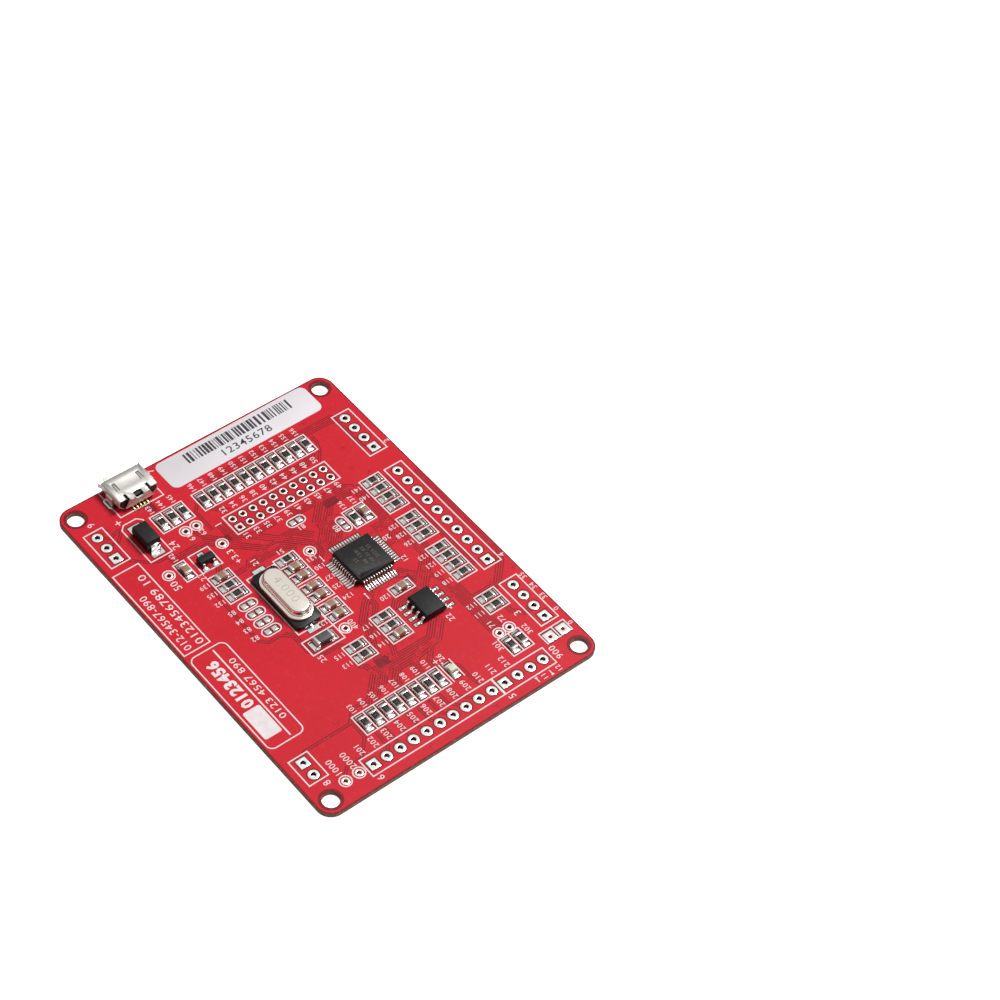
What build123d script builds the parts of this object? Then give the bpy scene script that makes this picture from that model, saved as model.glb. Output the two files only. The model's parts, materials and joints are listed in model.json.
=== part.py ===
from build123d import *
import os
from math import hypot

# A small two-layer controller board with surface-mounted parts and empty header rows.
# Millimetres. +X runs along the long edge towards the USB socket, +Y towards the three-pin
# header, +Z out of the component side. The origin is the centre of the four mounting holes,
# on the underside of the board.

# ---------------------------------------------------------------- board
board_length = 71.12
board_width = 53.34
corner_radius = 2.54
mounting_hole_dia = 2.8
mounting_hole_inset = 2.54
mounting_copper_relief = 1.95

mask_thickness = 0.03
copper_thickness = 0.035
laminate_thickness = 0.73
finish_height = 0.01
silkscreen_thickness = 0.02
silkscreen_line = 0.2

mask_clearance = 0.05
copper_clearance = 0.22
trace_width = 0.2
trace_gap = 0.18

# The places below are given for a board of this size. place() moves them with the edges.
layout_length = 71.12
layout_width = 53.34
layout_core_x = 25.0
layout_core_y = 17.0

# ---------------------------------------------------------------- through holes
header_pitch = 2.54
header_hole_dia = 1.0
header_pad_dia = 1.75
fine_pitch = 2.0
fine_hole_dia = 0.85
fine_pad_dia = 1.35
test_hole_dia = 0.8
test_pad_dia = 1.35
test_ring_dia = 2.15
ground_hole_dia = 0.7
ground_pad_side = 1.9
via_hole_dia = 0.3
via_pad_dia = 0.6
via_clearance = 0.15
plating = 0.05

# ---------------------------------------------------------------- chip parts (0805 and 1206)
chip_length = 2.0
chip_width = 1.25
chip_cap = 0.4
chip_plating = 0.03
resistor_height = 0.5
capacitor_height = 0.85
film_thickness = 0.01
glaze_thickness = 0.03
film_width = 1.05
land_length = 1.2
land_width = 1.3
land_span = 3.3
cell_length = 3.95
cell_pitch = 2.032
fillet_height = 0.34
fillet_width_margin = 0.04
fillet_knee_out = 0.45
fillet_knee_up = 0.35

ferrite_length = 3.2
ferrite_width = 1.6
ferrite_height = 1.1
ferrite_cap = 0.55
ferrite_land_length = 1.5
ferrite_land_width = 2.0
ferrite_land_span = 4.7
ferrite_cell_length = 6.1
ferrite_cell_width = 3.0

led_base_height = 0.3
led_lens_height = 0.5
led_lens_length = 1.3
led_die_side = 0.3
led_die_height = 0.15

# ---------------------------------------------------------------- moulded packages
mcu_body_side = 7.0
mcu_body_height = 1.4
mcu_standoff = 0.1
mcu_leads_per_side = 12
mcu_lead_pitch = 0.5
mcu_lead_width = 0.22
mcu_lead_thickness = 0.12
mcu_lead_span = 9.0
mcu_land_length = 1.6
mcu_land_width = 0.28
mcu_land_reach = 5.2
mcu_paddle_side = 4.2
mcu_die_side = 2.8
draft_angle = 8
# How a bent lead divides its reach: buried, level and sloping shares.
lead_buried_share = 0.55
lead_level_share = 0.3
lead_slope_share = 0.21
dimple_inset = 0.9
dimple_dia = 0.7
dimple_depth = 0.08
paddle_thickness = 0.12
die_thickness = 0.25

ic_body_length = 4.9
ic_body_width = 3.9
ic_body_height = 1.35
ic_standoff = 0.12
ic_leads_per_side = 4
ic_lead_pitch = 1.27
ic_lead_width = 0.42
ic_lead_thickness = 0.2
ic_lead_span = 6.0
ic_land_length = 1.8
ic_land_width = 0.6
ic_land_reach = 3.85
ic_die_length = 1.8
ic_die_width = 1.2

regulator_body_length = 2.9
regulator_body_width = 1.4
regulator_body_height = 1.0
regulator_standoff = 0.06
regulator_lead_offset = 0.95
regulator_lead_width = 0.42
regulator_lead_thickness = 0.12
regulator_lead_span = 2.5
regulator_land_length = 1.0
regulator_land_width = 1.0
regulator_land_reach = 1.85
regulator_die_side = 0.5

diode_body_length = 4.3
diode_body_width = 2.6
diode_body_height = 2.0
diode_standoff = 0.12
diode_lead_width = 1.45
diode_lead_thickness = 0.2
diode_lead_span = 5.0
diode_lead_foot = 1.1
diode_land_length = 2.1
diode_land_width = 2.2
diode_land_reach = 3.65
diode_die_side = 1.4

# ---------------------------------------------------------------- crystal
crystal_seat_length = 12.6
crystal_seat_width = 4.9
crystal_seat_height = 0.75
crystal_seat_chamfer = 0.6
crystal_header_length = 11.05
crystal_header_width = 4.6
crystal_header_thickness = 0.3
crystal_can_length = 10.0
crystal_can_width = 3.6
crystal_can_wall = 0.2
crystal_can_height = 1.55
crystal_can_rounding = 0.35
crystal_lead_spacing = 4.88
crystal_lead_thickness = 0.3
crystal_lead_width = 0.45
crystal_lead_reach = 6.8
crystal_lead_rise = 0.75
crystal_land_length = 3.4
crystal_land_width = 2.1
crystal_land_reach = 7.5
blank_length = 6.2
blank_height = 0.9
blank_thickness = 0.12
blank_lift = 0.15

# ---------------------------------------------------------------- micro-USB socket
usb_width = 7.5
usb_height = 2.4
usb_depth = 5.0
usb_wall = 0.25
usb_taper_width = 1.0
usb_taper_height = 1.15
usb_corner_radius = 0.4
usb_lip_depth = 0.55
usb_lip_flare = 22
usb_lip_width = 6.1
usb_lip_foot = 0.288
usb_lip_corner_z = 1.8
usb_inner_radius_least = 0.1
usb_overhang = 0.2
usb_window_length = 1.7
usb_window_width = 0.65
usb_window_offset = 2.3
usb_window_setback = 1.15
usb_finger_width = 0.4
usb_finger_slit = 0.15
usb_slot_length = 1.0
usb_slot_width = 0.5
usb_slot_offset = 2.07
usb_notch_depth = 0.6
usb_notch_width = 1.5
usb_notch_radius = 0.3
usb_back_top_width = 3.6
usb_back_foot_width = 5.4
usb_back_drop = 1.75
usb_back_setback = 0.25
usb_tab_length = 1.6
usb_tab_setback = 3.1
usb_tab_gap = 0.02
usb_tab_height = 1.65
usb_link_height = 0.45
usb_link_lift = 0.05
usb_link_overlap = 0.01
usb_tab_slot_length = 1.9
usb_tab_slot_width = 0.6
usb_tab_pad_length = 2.5
usb_tab_pad_width = 1.3
usb_insulator_back = 0.3
usb_insulator_depth = 1.6
usb_insulator_gap = 0.05
usb_insulator_under_flap = 0.1
usb_heel_under_flap = 0.15
usb_tongue_width = 3.9
usb_tongue_thickness = 0.6
usb_tongue_lift = 1.35
usb_tongue_setback = 0.5
usb_contact_pitch = 0.65
usb_contact_width = 0.24
usb_contact_thickness = 0.12
usb_contact_foot = 0.6
usb_contact_tip_gap = 0.3
usb_contact_bend = (0.4, 0.1, 0.35)
usb_land_length = 1.1
usb_land_width = 0.4

# ---------------------------------------------------------------- label
label_length = 30.1
label_width = 6.1
label_thickness = 0.08
label_corner_radius = 1.2
label_turn = 0.45
label_to_usb_gap = 2.35

# ---------------------------------------------------------------- heights
z_copper_bottom = mask_thickness
z_laminate = z_copper_bottom + copper_thickness
z_copper_top = z_laminate + laminate_thickness
z_mask_top = z_copper_top + copper_thickness
z_board = z_mask_top + mask_thickness
z_pad = z_board + finish_height


def place(x, y):
    """A point of the layout, moved with the edges where the board's size is changed."""
    pull_x = max(-1.0, min(1.0, x / layout_core_x))
    pull_y = max(-1.0, min(1.0, y / layout_core_y))
    grown_x = (board_length - layout_length) / 2 * pull_x
    grown_y = (board_width - layout_width) / 2 * pull_y
    return (x + grown_x, y + grown_y)


# ---------------------------------------------------------------- places of the parts
# Banks of chip parts: centre, direction of each chip's length, and kinds in order along the
# bank (r resistor, c capacitor), from +Y down where the chips lie along X, else from -X.
chip_banks = [
    ((-25.1, 4.58), "X", "rrrrrrrr"),
    ((-26.75, -16.6), "X", "rr"),
    ((-18.3, -18.76), "Y", "rr"),
    ((-8.17, -18.76), "Y", "rrrr"),
    ((0.45, -18.76), "Y", "rrr"),
    ((8.95, -18.76), "Y", "rrrr"),
    ((-13.93, 3.85), "Y", "rr"),
    ((-12.9, -3.05), "Y", "crr"),
    ((-5.37, 2.2), "Y", "cc"),
    ((-0.72, 2.2), "Y", "cc"),
    ((4.93, 2.2), "Y", "ccr"),
    ((8.05, 12.5), "Y", "rrc"),
    ((14.45, 16.3), "X", "c"),
    ((24.55, 11.6), "X", "rrr"),
    ((24.55, -4.6), "X", "rrrrrrrrrrr"),
    ((-7.95, -8.93), "Y", "c"),
    ((7.6, -12.65), "X", "rc"),
]
led_below_chip = 2.568
ferrite_place = (-9.0, 7.2)
mcu_place = (-0.37, -7.25)
ic_place = (-13.17, -9.75)
regulator_place = (14.25, 12.5)
diode_place = (23.1, 17.6)
crystal_place = (0.75, 7.0)
usb_y = 14.1
label_x = 32.1

column_x = -31.75
column_top_y = 15.24
lower_row_y = -23.495
upper_row_y = 23.495
# Header rows: pin 1, number of pins, and the way the row runs.
header_rows = [
    ((column_x, column_top_y), 10, (0, -1)),
    ((column_x, column_top_y - 10 * header_pitch), 4, (0, -1)),
    ((-4.5 * header_pitch, lower_row_y), 10, (1, 0)),
    ((-25.4, lower_row_y), 4, (1, 0)),
    ((17.78, lower_row_y), 4, (1, 0)),
    ((22.86, upper_row_y), 3, (1, 0)),
    ((-25.4, upper_row_y), 2, (-1, 0)),
]
fine_header_pin_1 = (16.75, 4.13)
fine_header_rows = 10
test_points = [
    (-31.7, 20.4), (-31.7, 17.86), (-9.1, 3.0), (15.2, 18.9), (15.62, 8.4),
    (20.98, 11.57), (20.98, 9.53), (6.3, -1.8), (-23.9, -15.6), (-23.9, -17.62),
]
ground_pads = [(-29.1, -21.55), (-29.1, -24.15)]
# Solder jumpers: centre and direction of the gap between the two lands.
solder_jumpers = [
    ((-2.7, 12.4), "Y"), ((-0.67, 12.4), "Y"), ((1.36, 12.4), "Y"), ((3.4, 12.4), "Y"),
    ((12.5, -3.75), "Y"), ((7.55, -9.5), "X"),
]
jumper_land_side = 0.95
jumper_land_gap = 0.35
jumper_outline_length = 3.5
jumper_outline_width = 1.85

vias = [
    (-18.1, 5.0), (-19.9, 3.0), (-17.9, 0.85), (-16.85, 0.85), (-20.7, -1.9), (-19.6, -2.95),
    (-19.2, -4.15), (-16.5, -2.1), (-16.6, -4.05), (-13.9, -14.35), (-12.5, -14.35),
    (-15.2, -20.9), (-6.4, -5.65), (-6.9, -14.3), (-3.85, -1.0), (0.5, -13.9), (-0.3, -14.25),
    (3.15, -13.55), (3.6, -11.85), (4.0, -15.8), (4.4, -3.9), (5.8, -4.45), (7.35, -5.2),
    (9.5, -6.35), (10.1, -5.85), (9.85, -8.45), (9.85, -9.7), (-1.2, -16.35), (14.0, -19.5),
    (17.7, 11.0), (10.15, 6.9), (11.6, 9.6), (10.6, 4.6), (-22.5, 14.9), (-15.0, -25.6),
    (28.4, -17.2), (28.4, 21.4), (16.4, -17.6), (20.6, -19.2), (-34.2, 6.4), (-34.2, -6.4),
]

# Bundles of traces that run side by side: number of traces and the bundle's centre line.
trace_bundles = [
    (1, [(-25.4, 23.5), (-24.35, 22.6), (-23.85, 22.1), (-23.85, 13.6), (-22.3, 12.0),
         (-21.9, 11.2), (-21.9, 7.4), (-19.1, 4.6), (-18.1, 4.6)]),
    (1, [(-31.7, 20.4), (-30.7, 19.7), (-29.85, 18.7), (-29.85, 16.0), (-27.1, 13.25),
         (-23.6, 13.25), (-22.7, 12.3)]),
    (1, [(-31.75, 12.7), (-30.4, 11.4), (-26.2, 11.4)]),
    (1, [(-31.75, 10.16), (-30.4, 9.8), (-26.2, 9.8)]),
    (1, [(-31.75, 7.62), (-26.2, 7.62)]),
    (1, [(-31.75, 5.08), (-30.4, 5.5), (-26.2, 5.5)]),
    (1, [(-31.75, 2.54), (-30.4, 3.4), (-26.2, 3.4)]),
    (1, [(-31.75, 0.0), (-30.3, 1.3), (-26.2, 1.3)]),
    (1, [(-31.75, -2.54), (-29.6, -0.7), (-26.2, -0.7)]),
    (1, [(-31.75, -5.08), (-29.2, -2.6), (-26.2, -2.6)]),
    (5, [(-23.9, 8.9), (-22.6, 8.2), (-18.6, 4.2), (-18.6, -6.6), (-15.4, -9.8)]),
    (3, [(-24.0, 3.4), (-21.6, 3.0), (-19.8, 1.2), (-19.8, -3.0), (-19.0, -7.4), (-16.2, -10.2)]),
    (3, [(-23.9, -0.8), (-21.0, -1.2), (-19.9, -2.4)]),
    (2, [(-24.0, -3.4), (-21.6, -3.6), (-19.8, -5.4)]),
    (1, [(-30.0, -7.2), (-28.6, -6.65), (-25.0, -6.65), (-24.2, -5.8)]),
    (2, [(-18.1, 4.9), (-16.9, 4.9), (-16.2, 5.6), (-15.0, 5.6)]),
    (2, [(-18.0, 0.2), (-16.2, -0.7), (-14.8, -0.7), (-11.2, -0.7), (-8.4, -3.5), (-5.4, -3.9)]),
    (3, [(-17.5, 3.0), (-11.6, 0.4), (-9.7, 0.1), (-7.0, -2.6), (-5.6, -4.8)]),
    (5, [(-11.1, -5.6), (-9.9, -6.8), (-9.9, -11.4), (-4.4, -16.9), (-2.6, -16.9)]),
    (4, [(-9.2, -11.9), (-6.6, -11.6), (-4.9, -10.3)]),
    (2, [(-23.9, -15.6), (-22.4, -14.95), (-9.4, -14.95), (-6.8, -12.4), (-5.4, -9.3)]),
    (3, [(-23.9, -17.6), (-22.2, -16.25), (-12.5, -16.25)]),
    (2, [(-19.4, -19.9), (-21.6, -19.9), (-23.1, -21.4), (-23.1, -23.5)]),
    (3, [(-16.2, -16.4), (-16.2, -21.6), (-12.8, -25.0), (-11.0, -25.9), (10.0, -25.9)]),
    (2, [(-11.2, -21.1), (11.6, -21.1)]),
    (4, [(-4.0, -16.3), (2.4, -16.1), (3.9, -14.6), (3.9, -12.6)]),
    (4, [(0.6, -12.2), (0.6, -14.2), (2.2, -15.6), (12.0, -15.6), (12.0, -17.6)]),
    (4, [(4.4, -6.2), (5.4, -6.2), (6.9, -7.7), (9.9, -7.7), (12.6, -10.4), (12.6, -16.0)]),
    (4, [(4.4, -4.6), (6.6, -4.6), (8.6, -6.6), (10.6, -6.6), (13.6, -9.6), (13.9, -12.0)]),
    (3, [(3.4, -0.9), (5.2, -3.0), (7.6, -3.0), (9.4, -1.2), (11.0, 0.4), (13.6, 3.0)]),
    (3, [(8.6, -4.4), (11.1, -1.9), (11.1, 0.6), (15.0, 4.5), (16.6, 6.4), (19.3, 6.4)]),
    (4, [(9.0, 7.6), (9.8, 7.0), (9.8, 1.2), (8.0, -0.6)]),
    (3, [(15.6, 8.4), (13.0, 5.8), (10.6, 3.2), (10.6, 1.2)]),
    (3, [(17.3, 17.2), (17.3, 10.2), (15.8, 8.7), (13.6, 6.5)]),
    (2, [(21.0, 10.6), (18.4, 9.9), (16.4, 7.9), (14.2, 5.7)]),
    (1, [(22.86, 23.5), (21.6, 22.3), (18.9, 19.6), (18.4, 18.4), (18.4, 16.4)]),
    (1, [(25.4, 23.5), (25.4, 21.2), (26.9, 19.7)]),
    (1, [(27.94, 23.5), (26.6, 21.9), (27.2, 20.6), (27.2, 19.0)]),
    (1, [(18.7, 8.0), (23.3, 8.0), (24.6, 6.7)]),
    (2, [(29.4, 14.1), (27.3, 13.0), (26.0, 12.6)]),
    (2, [(20.4, 3.4), (22.6, 5.6), (23.6, 5.6)]),
    (3, [(20.3, -4.6), (21.3, -5.6), (21.3, -12.4), (22.6, -14.7)]),
    (2, [(20.4, -7.6), (22.2, -9.4), (23.2, -9.4)]),
    (1, [(20.4, -14.4), (22.2, -15.9), (24.0, -16.6), (25.4, -16.6)]),
    (4, [(26.6, 2.4), (27.2, 1.8), (27.2, -13.4), (26.6, -15.4), (26.6, -21.4), (25.4, -23.2)]),
    (3, [(14.6, -4.0), (13.9, -4.9), (13.9, -14.0), (12.8, -15.4)]),
    (2, [(16.4, 5.6), (14.2, 3.4), (14.2, -1.0)]),
    (2, [(-4.6, 11.3), (-5.6, 10.3), (-9.4, 10.3), (-11.0, 8.7), (-11.0, 6.2), (-12.8, 4.4)]),
    (1, [(10.1, 15.0), (6.4, 15.25), (-3.4, 15.25), (-4.4, 14.2), (-4.4, 12.0), (-5.2, 11.0)]),
    (2, [(3.4, 10.6), (2.6, 9.9), (-1.6, 9.9), (-3.0, 11.0)]),
    (2, [(-7.4, 6.4), (-6.0, 5.0), (-6.0, 4.0)]),
    (2, [(11.2, 12.2), (12.4, 11.4)]),
    (2, [(9.4, 10.4), (9.4, 8.4)]),
    (2, [(18.7, -22.0), (25.0, -22.0)]),
    (2, [(-21.0, 4.8), (-18.4, 2.2)]),
]
# Patches of bare laminate between the traces: centre, length and width.
bare_patches = [
    ((-17.6, 2.3), 1.7, 2.4), ((12.4, -10.6), 1.6, 2.6), ((16.0, 7.2), 1.4, 1.4),
    ((-7.2, -10.9), 1.6, 1.2), ((28.0, 12.9), 1.6, 0.8),
]


def bank_chips(bank):
    """Centre, direction and kind of each chip of a bank."""
    (x, y), direction, kinds = bank
    x, y = place(x, y)
    chips = []
    for i, kind in enumerate(kinds):
        along = (i - (len(kinds) - 1) / 2) * cell_pitch
        centre = (x, y - along) if direction == "X" else (x + along, y)
        chips.append((centre, direction, kind))
    return chips


chips = [chip for bank in chip_banks for chip in bank_chips(bank)]


def led_centre():
    """The lamp stands in line below the last chip of the first bank."""
    x, y = bank_chips(chip_banks[0])[-1][0]
    return (x, y - led_below_chip)


# ---------------------------------------------------------------- drawing helpers
def left_of(a, b):
    """The unit vector to the left of the run from a to b."""
    run = hypot(b[0] - a[0], b[1] - a[1])
    return (-(b[1] - a[1]) / run, (b[0] - a[0]) / run)


def beside(points, offset):
    """The open line of points, moved sideways by offset with mitred corners."""
    moved = []
    for i, (x, y) in enumerate(points):
        before = left_of(points[max(i - 1, 0)], points[max(i, 1)])
        after = left_of(points[min(i, len(points) - 2)], points[min(i + 1, len(points) - 1)])
        mitre = 1 + before[0] * after[0] + before[1] * after[1]
        moved.append((x + offset * (before[0] + after[0]) / mitre,
                      y + offset * (before[1] + after[1]) / mitre))
    return moved


def strip(points, width):
    """A flat strip of this width along an open line."""
    outline = beside(points, width / 2) + beside(points, -width / 2)[::-1]
    return make_face(Polyline(*outline, close=True))


def disc(place_xy, diameter):
    return Pos(*place_xy) * Circle(diameter / 2)


def plate(outline, z, thickness):
    return Pos(0, 0, z) * extrude(outline, thickness)


def save(shape, node):
    """Write one node. A list is kept as separate solids in one node."""
    solids = shape if isinstance(shape, list) else [shape]
    solids = [solid for item in solids for solid in item.solids()]
    group = solids[0] if len(solids) == 1 else Compound(children=solids)
    export_step(group, f"parts/{node}.step")


def chip_at(shape, chip):
    """A shape made at the origin with its length along X, put at a chip's place."""
    (x, y), direction, _ = chip
    turn = 0 if direction == "X" else 90
    return Pos(x, y, z_pad) * Rot(0, 0, turn) * shape


def block(length, width, height, z=0.0):
    return Pos(0, 0, z + height / 2) * Box(length, width, height)


def bent_strip(points, thickness, width):
    """A strip of metal bent along a side view in the XZ plane, centred on Y."""
    side = Plane.XZ * strip(points, thickness)
    return Pos(0, width / 2, 0) * extrude(side, width)


def moulded_body(length, width, height, standoff):
    """A moulded package with drafted sides that meet at the parting line."""
    middle = standoff + height / 2
    upper = extrude(Rectangle(length, width), height / 2, taper=draft_angle)
    return Pos(0, 0, middle) * (upper + Rot(180, 0, 0) * upper)


# ---------------------------------------------------------------- lands and holes
def row_pins(row):
    (x, y), count, (step_x, step_y) = row
    x, y = place(x, y)
    return [(x + i * step_x * header_pitch, y + i * step_y * header_pitch) for i in range(count)]


def column_start():
    """The second row of the long column follows on from the first at the same pitch."""
    return row_pins(header_rows[0])[0][1] - header_rows[0][1] * header_pitch


def header_pins():
    """Every 2.54 mm pin hole with whether its pad is square."""
    pins = []
    for number, row in enumerate(header_rows):
        holes = row_pins(row)
        if number == 1:
            holes = [(x, column_start() - i * header_pitch) for i, (x, _) in enumerate(holes)]
        pins += [(hole, i == 0) for i, hole in enumerate(holes)]
    return pins


def fine_pins():
    x, y = place(*fine_header_pin_1)
    return [((x + column * fine_pitch, y - row * fine_pitch), row == 0 and column == 0)
            for row in range(fine_header_rows) for column in range(2)]


def land(x, y, length, width):
    return Pos(x, y) * Rectangle(length, width)


def pair_of_lands(centre, direction, length, width, span):
    """Two lands on either side of a centre, span being their outer distance."""
    reach = (span - length) / 2
    lands = []
    for side in (-1, 1):
        if direction == "X":
            lands.append(land(centre[0] + side * reach, centre[1], length, width))
        else:
            lands.append(land(centre[0], centre[1] + side * reach, width, length))
    return lands


def gull_lands(centre, count, pitch, reach, length, width, turns):
    """A row of lands on each turned side of a package."""
    lands = []
    for turn in turns:
        for i in range(count):
            along = (i - (count - 1) / 2) * pitch
            one = Pos(reach - length / 2, along) * Rectangle(length, width)
            lands.append(Pos(*centre) * Rot(0, 0, turn) * one)
    return lands


usb_mouth_x = board_length / 2 + usb_overhang
usb_back_x = usb_mouth_x - usb_lip_depth - usb_depth
usb_place_y = place(0, usb_y)[1]
usb_heel_x = usb_back_x - usb_insulator_back


def usb_lands():
    x = usb_heel_x - usb_contact_foot / 2
    return [land(x, usb_place_y + i * usb_contact_pitch, usb_land_length, usb_land_width)
            for i in range(-2, 3)]


def all_lands():
    lands = []
    for centre, direction, _ in chips:
        lands += pair_of_lands(centre, direction, land_length, land_width, land_span)
    lands += pair_of_lands(led_centre(), "X", land_length, land_width, land_span)
    lands += pair_of_lands(place(*ferrite_place), "Y", ferrite_land_length,
                           ferrite_land_width, ferrite_land_span)
    lands += pair_of_lands(place(*diode_place), "X", diode_land_length, diode_land_width,
                           2 * diode_land_reach)
    lands += pair_of_lands(place(*crystal_place), "X", crystal_land_length,
                           crystal_land_width, 2 * crystal_land_reach)
    lands += gull_lands(place(*mcu_place), mcu_leads_per_side, mcu_lead_pitch, mcu_land_reach,
                        mcu_land_length, mcu_land_width, (0, 90, 180, 270))
    lands += gull_lands(place(*ic_place), ic_leads_per_side, ic_lead_pitch, ic_land_reach,
                        ic_land_length, ic_land_width, (90, 270))
    lands += gull_lands(place(*regulator_place), 1, 0, regulator_land_reach,
                        regulator_land_length, regulator_land_width, (0,))
    lands += gull_lands(place(*regulator_place), 2, 2 * regulator_lead_offset,
                        regulator_land_reach, regulator_land_length, regulator_land_width, (180,))
    return lands + usb_lands()


def jumper_lands():
    lands = []
    span = 2 * jumper_land_side + jumper_land_gap
    for centre, direction in solder_jumpers:
        lands += pair_of_lands(place(*centre), direction, jumper_land_side, jumper_land_side, span)
    return lands


def usb_tab_places():
    x = usb_mouth_x - usb_tab_setback
    reach = usb_width / 2 + usb_tab_gap + usb_wall / 2
    return [(x, usb_place_y + side * reach) for side in (-1, 1)]


# Every plated hole: where it is, its pad's outline and its hole's outline.
plated_holes = {
    "header_barrels": [
        (xy, Rectangle(header_pad_dia, header_pad_dia) if square else Circle(header_pad_dia / 2),
         Circle(header_hole_dia / 2), Circle(header_hole_dia / 2 + plating))
        for xy, square in header_pins()],
    "display_header_barrels": [
        (xy, Rectangle(fine_pad_dia, fine_pad_dia) if square else Circle(fine_pad_dia / 2),
         Circle(fine_hole_dia / 2), Circle(fine_hole_dia / 2 + plating))
        for xy, square in fine_pins()],
    "test_point_barrels": [
        (place(*xy), Circle(test_pad_dia / 2), Circle(test_hole_dia / 2),
         Circle(test_hole_dia / 2 + plating)) for xy in test_points],
    "ground_pad_barrels": [
        (place(*xy), Rectangle(ground_pad_side, ground_pad_side), Circle(ground_hole_dia / 2),
         Circle(ground_hole_dia / 2 + plating)) for xy in ground_pads],
    "usb_tab_barrels": [
        (xy, SlotOverall(usb_tab_pad_length, usb_tab_pad_width),
         SlotOverall(usb_tab_slot_length, usb_tab_slot_width),
         SlotOverall(usb_tab_slot_length + 2 * plating, usb_tab_slot_width + 2 * plating))
        for xy in usb_tab_places()],
}


def mounting_holes(diameter):
    x = board_length / 2 - mounting_hole_inset
    y = board_width / 2 - mounting_hole_inset
    return [disc((side_x * x, side_y * y), diameter) for side_x in (-1, 1) for side_y in (-1, 1)]


def grown(outline, amount):
    return offset(outline, amount, kind=Kind.INTERSECTION)


# ---------------------------------------------------------------- board layers
def make_board():
    outline = RectangleRounded(board_length, board_width, corner_radius)
    via_places = [place(*xy) for xy in vias]
    lands = all_lands() + jumper_lands()
    pads = [Pos(*xy) * pad for group in plated_holes.values() for xy, pad, _, _ in group]
    drills = [Pos(*xy) * drill for group in plated_holes.values() for xy, _, _, drill in group]
    via_drills = [disc(xy, via_hole_dia + 2 * plating) for xy in via_places]

    core = outline - mounting_holes(mounting_hole_dia) - drills - via_drills
    save(plate(core, z_laminate, laminate_thickness), "laminate_core")

    pad_room = [grown(pad, mask_clearance) for pad in pads]
    land_room = [grown(one, mask_clearance) for one in lands]
    via_holes = [disc(xy, via_hole_dia) for xy in via_places]
    mask = outline - mounting_holes(mounting_hole_dia + 2 * mask_clearance)
    mask_under = mask - pad_room - via_holes
    mask_over = mask - pad_room - via_holes - land_room
    save(plate(mask_under, 0, mask_thickness), "solder_mask_bottom")
    save(plate(mask_over, z_mask_top, mask_thickness), "solder_mask_top")

    copper_edge = RectangleRounded(board_length - 0.5, board_width - 0.5, corner_radius - 0.25)
    relief = mounting_holes(2 * mounting_copper_relief)
    pad_relief = [grown(pad, copper_clearance) for pad in pads]
    via_relief = [disc(xy, via_pad_dia + 2 * via_clearance) for xy in via_places]
    plane = copper_edge - relief - pad_relief - via_relief
    save(plate(plane, z_copper_bottom, copper_thickness), "copper_bottom")

    land_relief = [grown(one, copper_clearance) for one in lands]
    channels = []
    traces = []
    pitch = trace_width + trace_gap
    for count, points in trace_bundles:
        line = [place(*xy) for xy in points]
        channels.append(strip(line, count * pitch + trace_gap))
        for i in range(count):
            traces.append(strip(beside(line, (i - (count - 1) / 2) * pitch), trace_width))
    patches = [Pos(*place(*xy)) * Rectangle(length, width) for xy, length, width in bare_patches]
    openings = relief + pad_relief + via_relief + land_relief
    pour = copper_edge - channels - patches - openings
    tracks = Sketch() + traces - patches - openings
    copper = pour + tracks
    save(plate(copper, z_copper_top, copper_thickness), "copper_top")

    save([plate(one, z_copper_top, z_pad - z_copper_top) for one in all_lands()], "smd_lands")
    save([plate(one, z_copper_top, z_pad - z_copper_top) for one in jumper_lands()],
         "jumper_lands")

    for node, holes in plated_holes.items():
        barrels = []
        for xy, pad, hole, drill in holes:
            tube = plate(drill - hole, 0, z_pad)
            ring = pad - hole
            barrel = tube + plate(ring, 0, z_laminate) + plate(ring, z_copper_top,
                                                              z_pad - z_copper_top)
            barrels.append(Pos(*xy) * barrel)
        save(barrels, node)

    ring = Circle(via_pad_dia / 2) - Circle(via_hole_dia / 2)
    tube = Circle(via_hole_dia / 2 + plating) - Circle(via_hole_dia / 2)
    via = (plate(tube, z_copper_bottom, z_mask_top - z_copper_bottom)
           + plate(ring, z_copper_bottom, copper_thickness)
           + plate(ring, z_copper_top, copper_thickness))
    save([Pos(*xy) * via for xy in via_places], "via_barrels")
    return pad_room + land_room


# ---------------------------------------------------------------- silkscreen
def frame(x, y, length, width, cells=1, along="X"):
    """A drawn box, divided into cells along one direction."""
    line = silkscreen_line
    box = Rectangle(length + line, width + line)
    for i in range(cells):
        middle = (i + 0.5) / cells - 0.5
        if along == "X":
            box -= Pos(middle * length, 0) * Rectangle(length / cells - line, width - line)
        else:
            box -= Pos(0, middle * width) * Rectangle(length - line, width / cells - line)
    return Pos(x, y) * box


def ring(xy, diameter):
    return Pos(*xy) * (Circle(diameter / 2) - Circle(diameter / 2 - silkscreen_line))


def stadium(xy, direction, length, width):
    outer = SlotOverall(length, width)
    inner = SlotOverall(length - 2 * silkscreen_line, width - 2 * silkscreen_line)
    return Pos(*xy) * Rot(0, 0, 0 if direction == "X" else 90) * (outer - inner)


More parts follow.
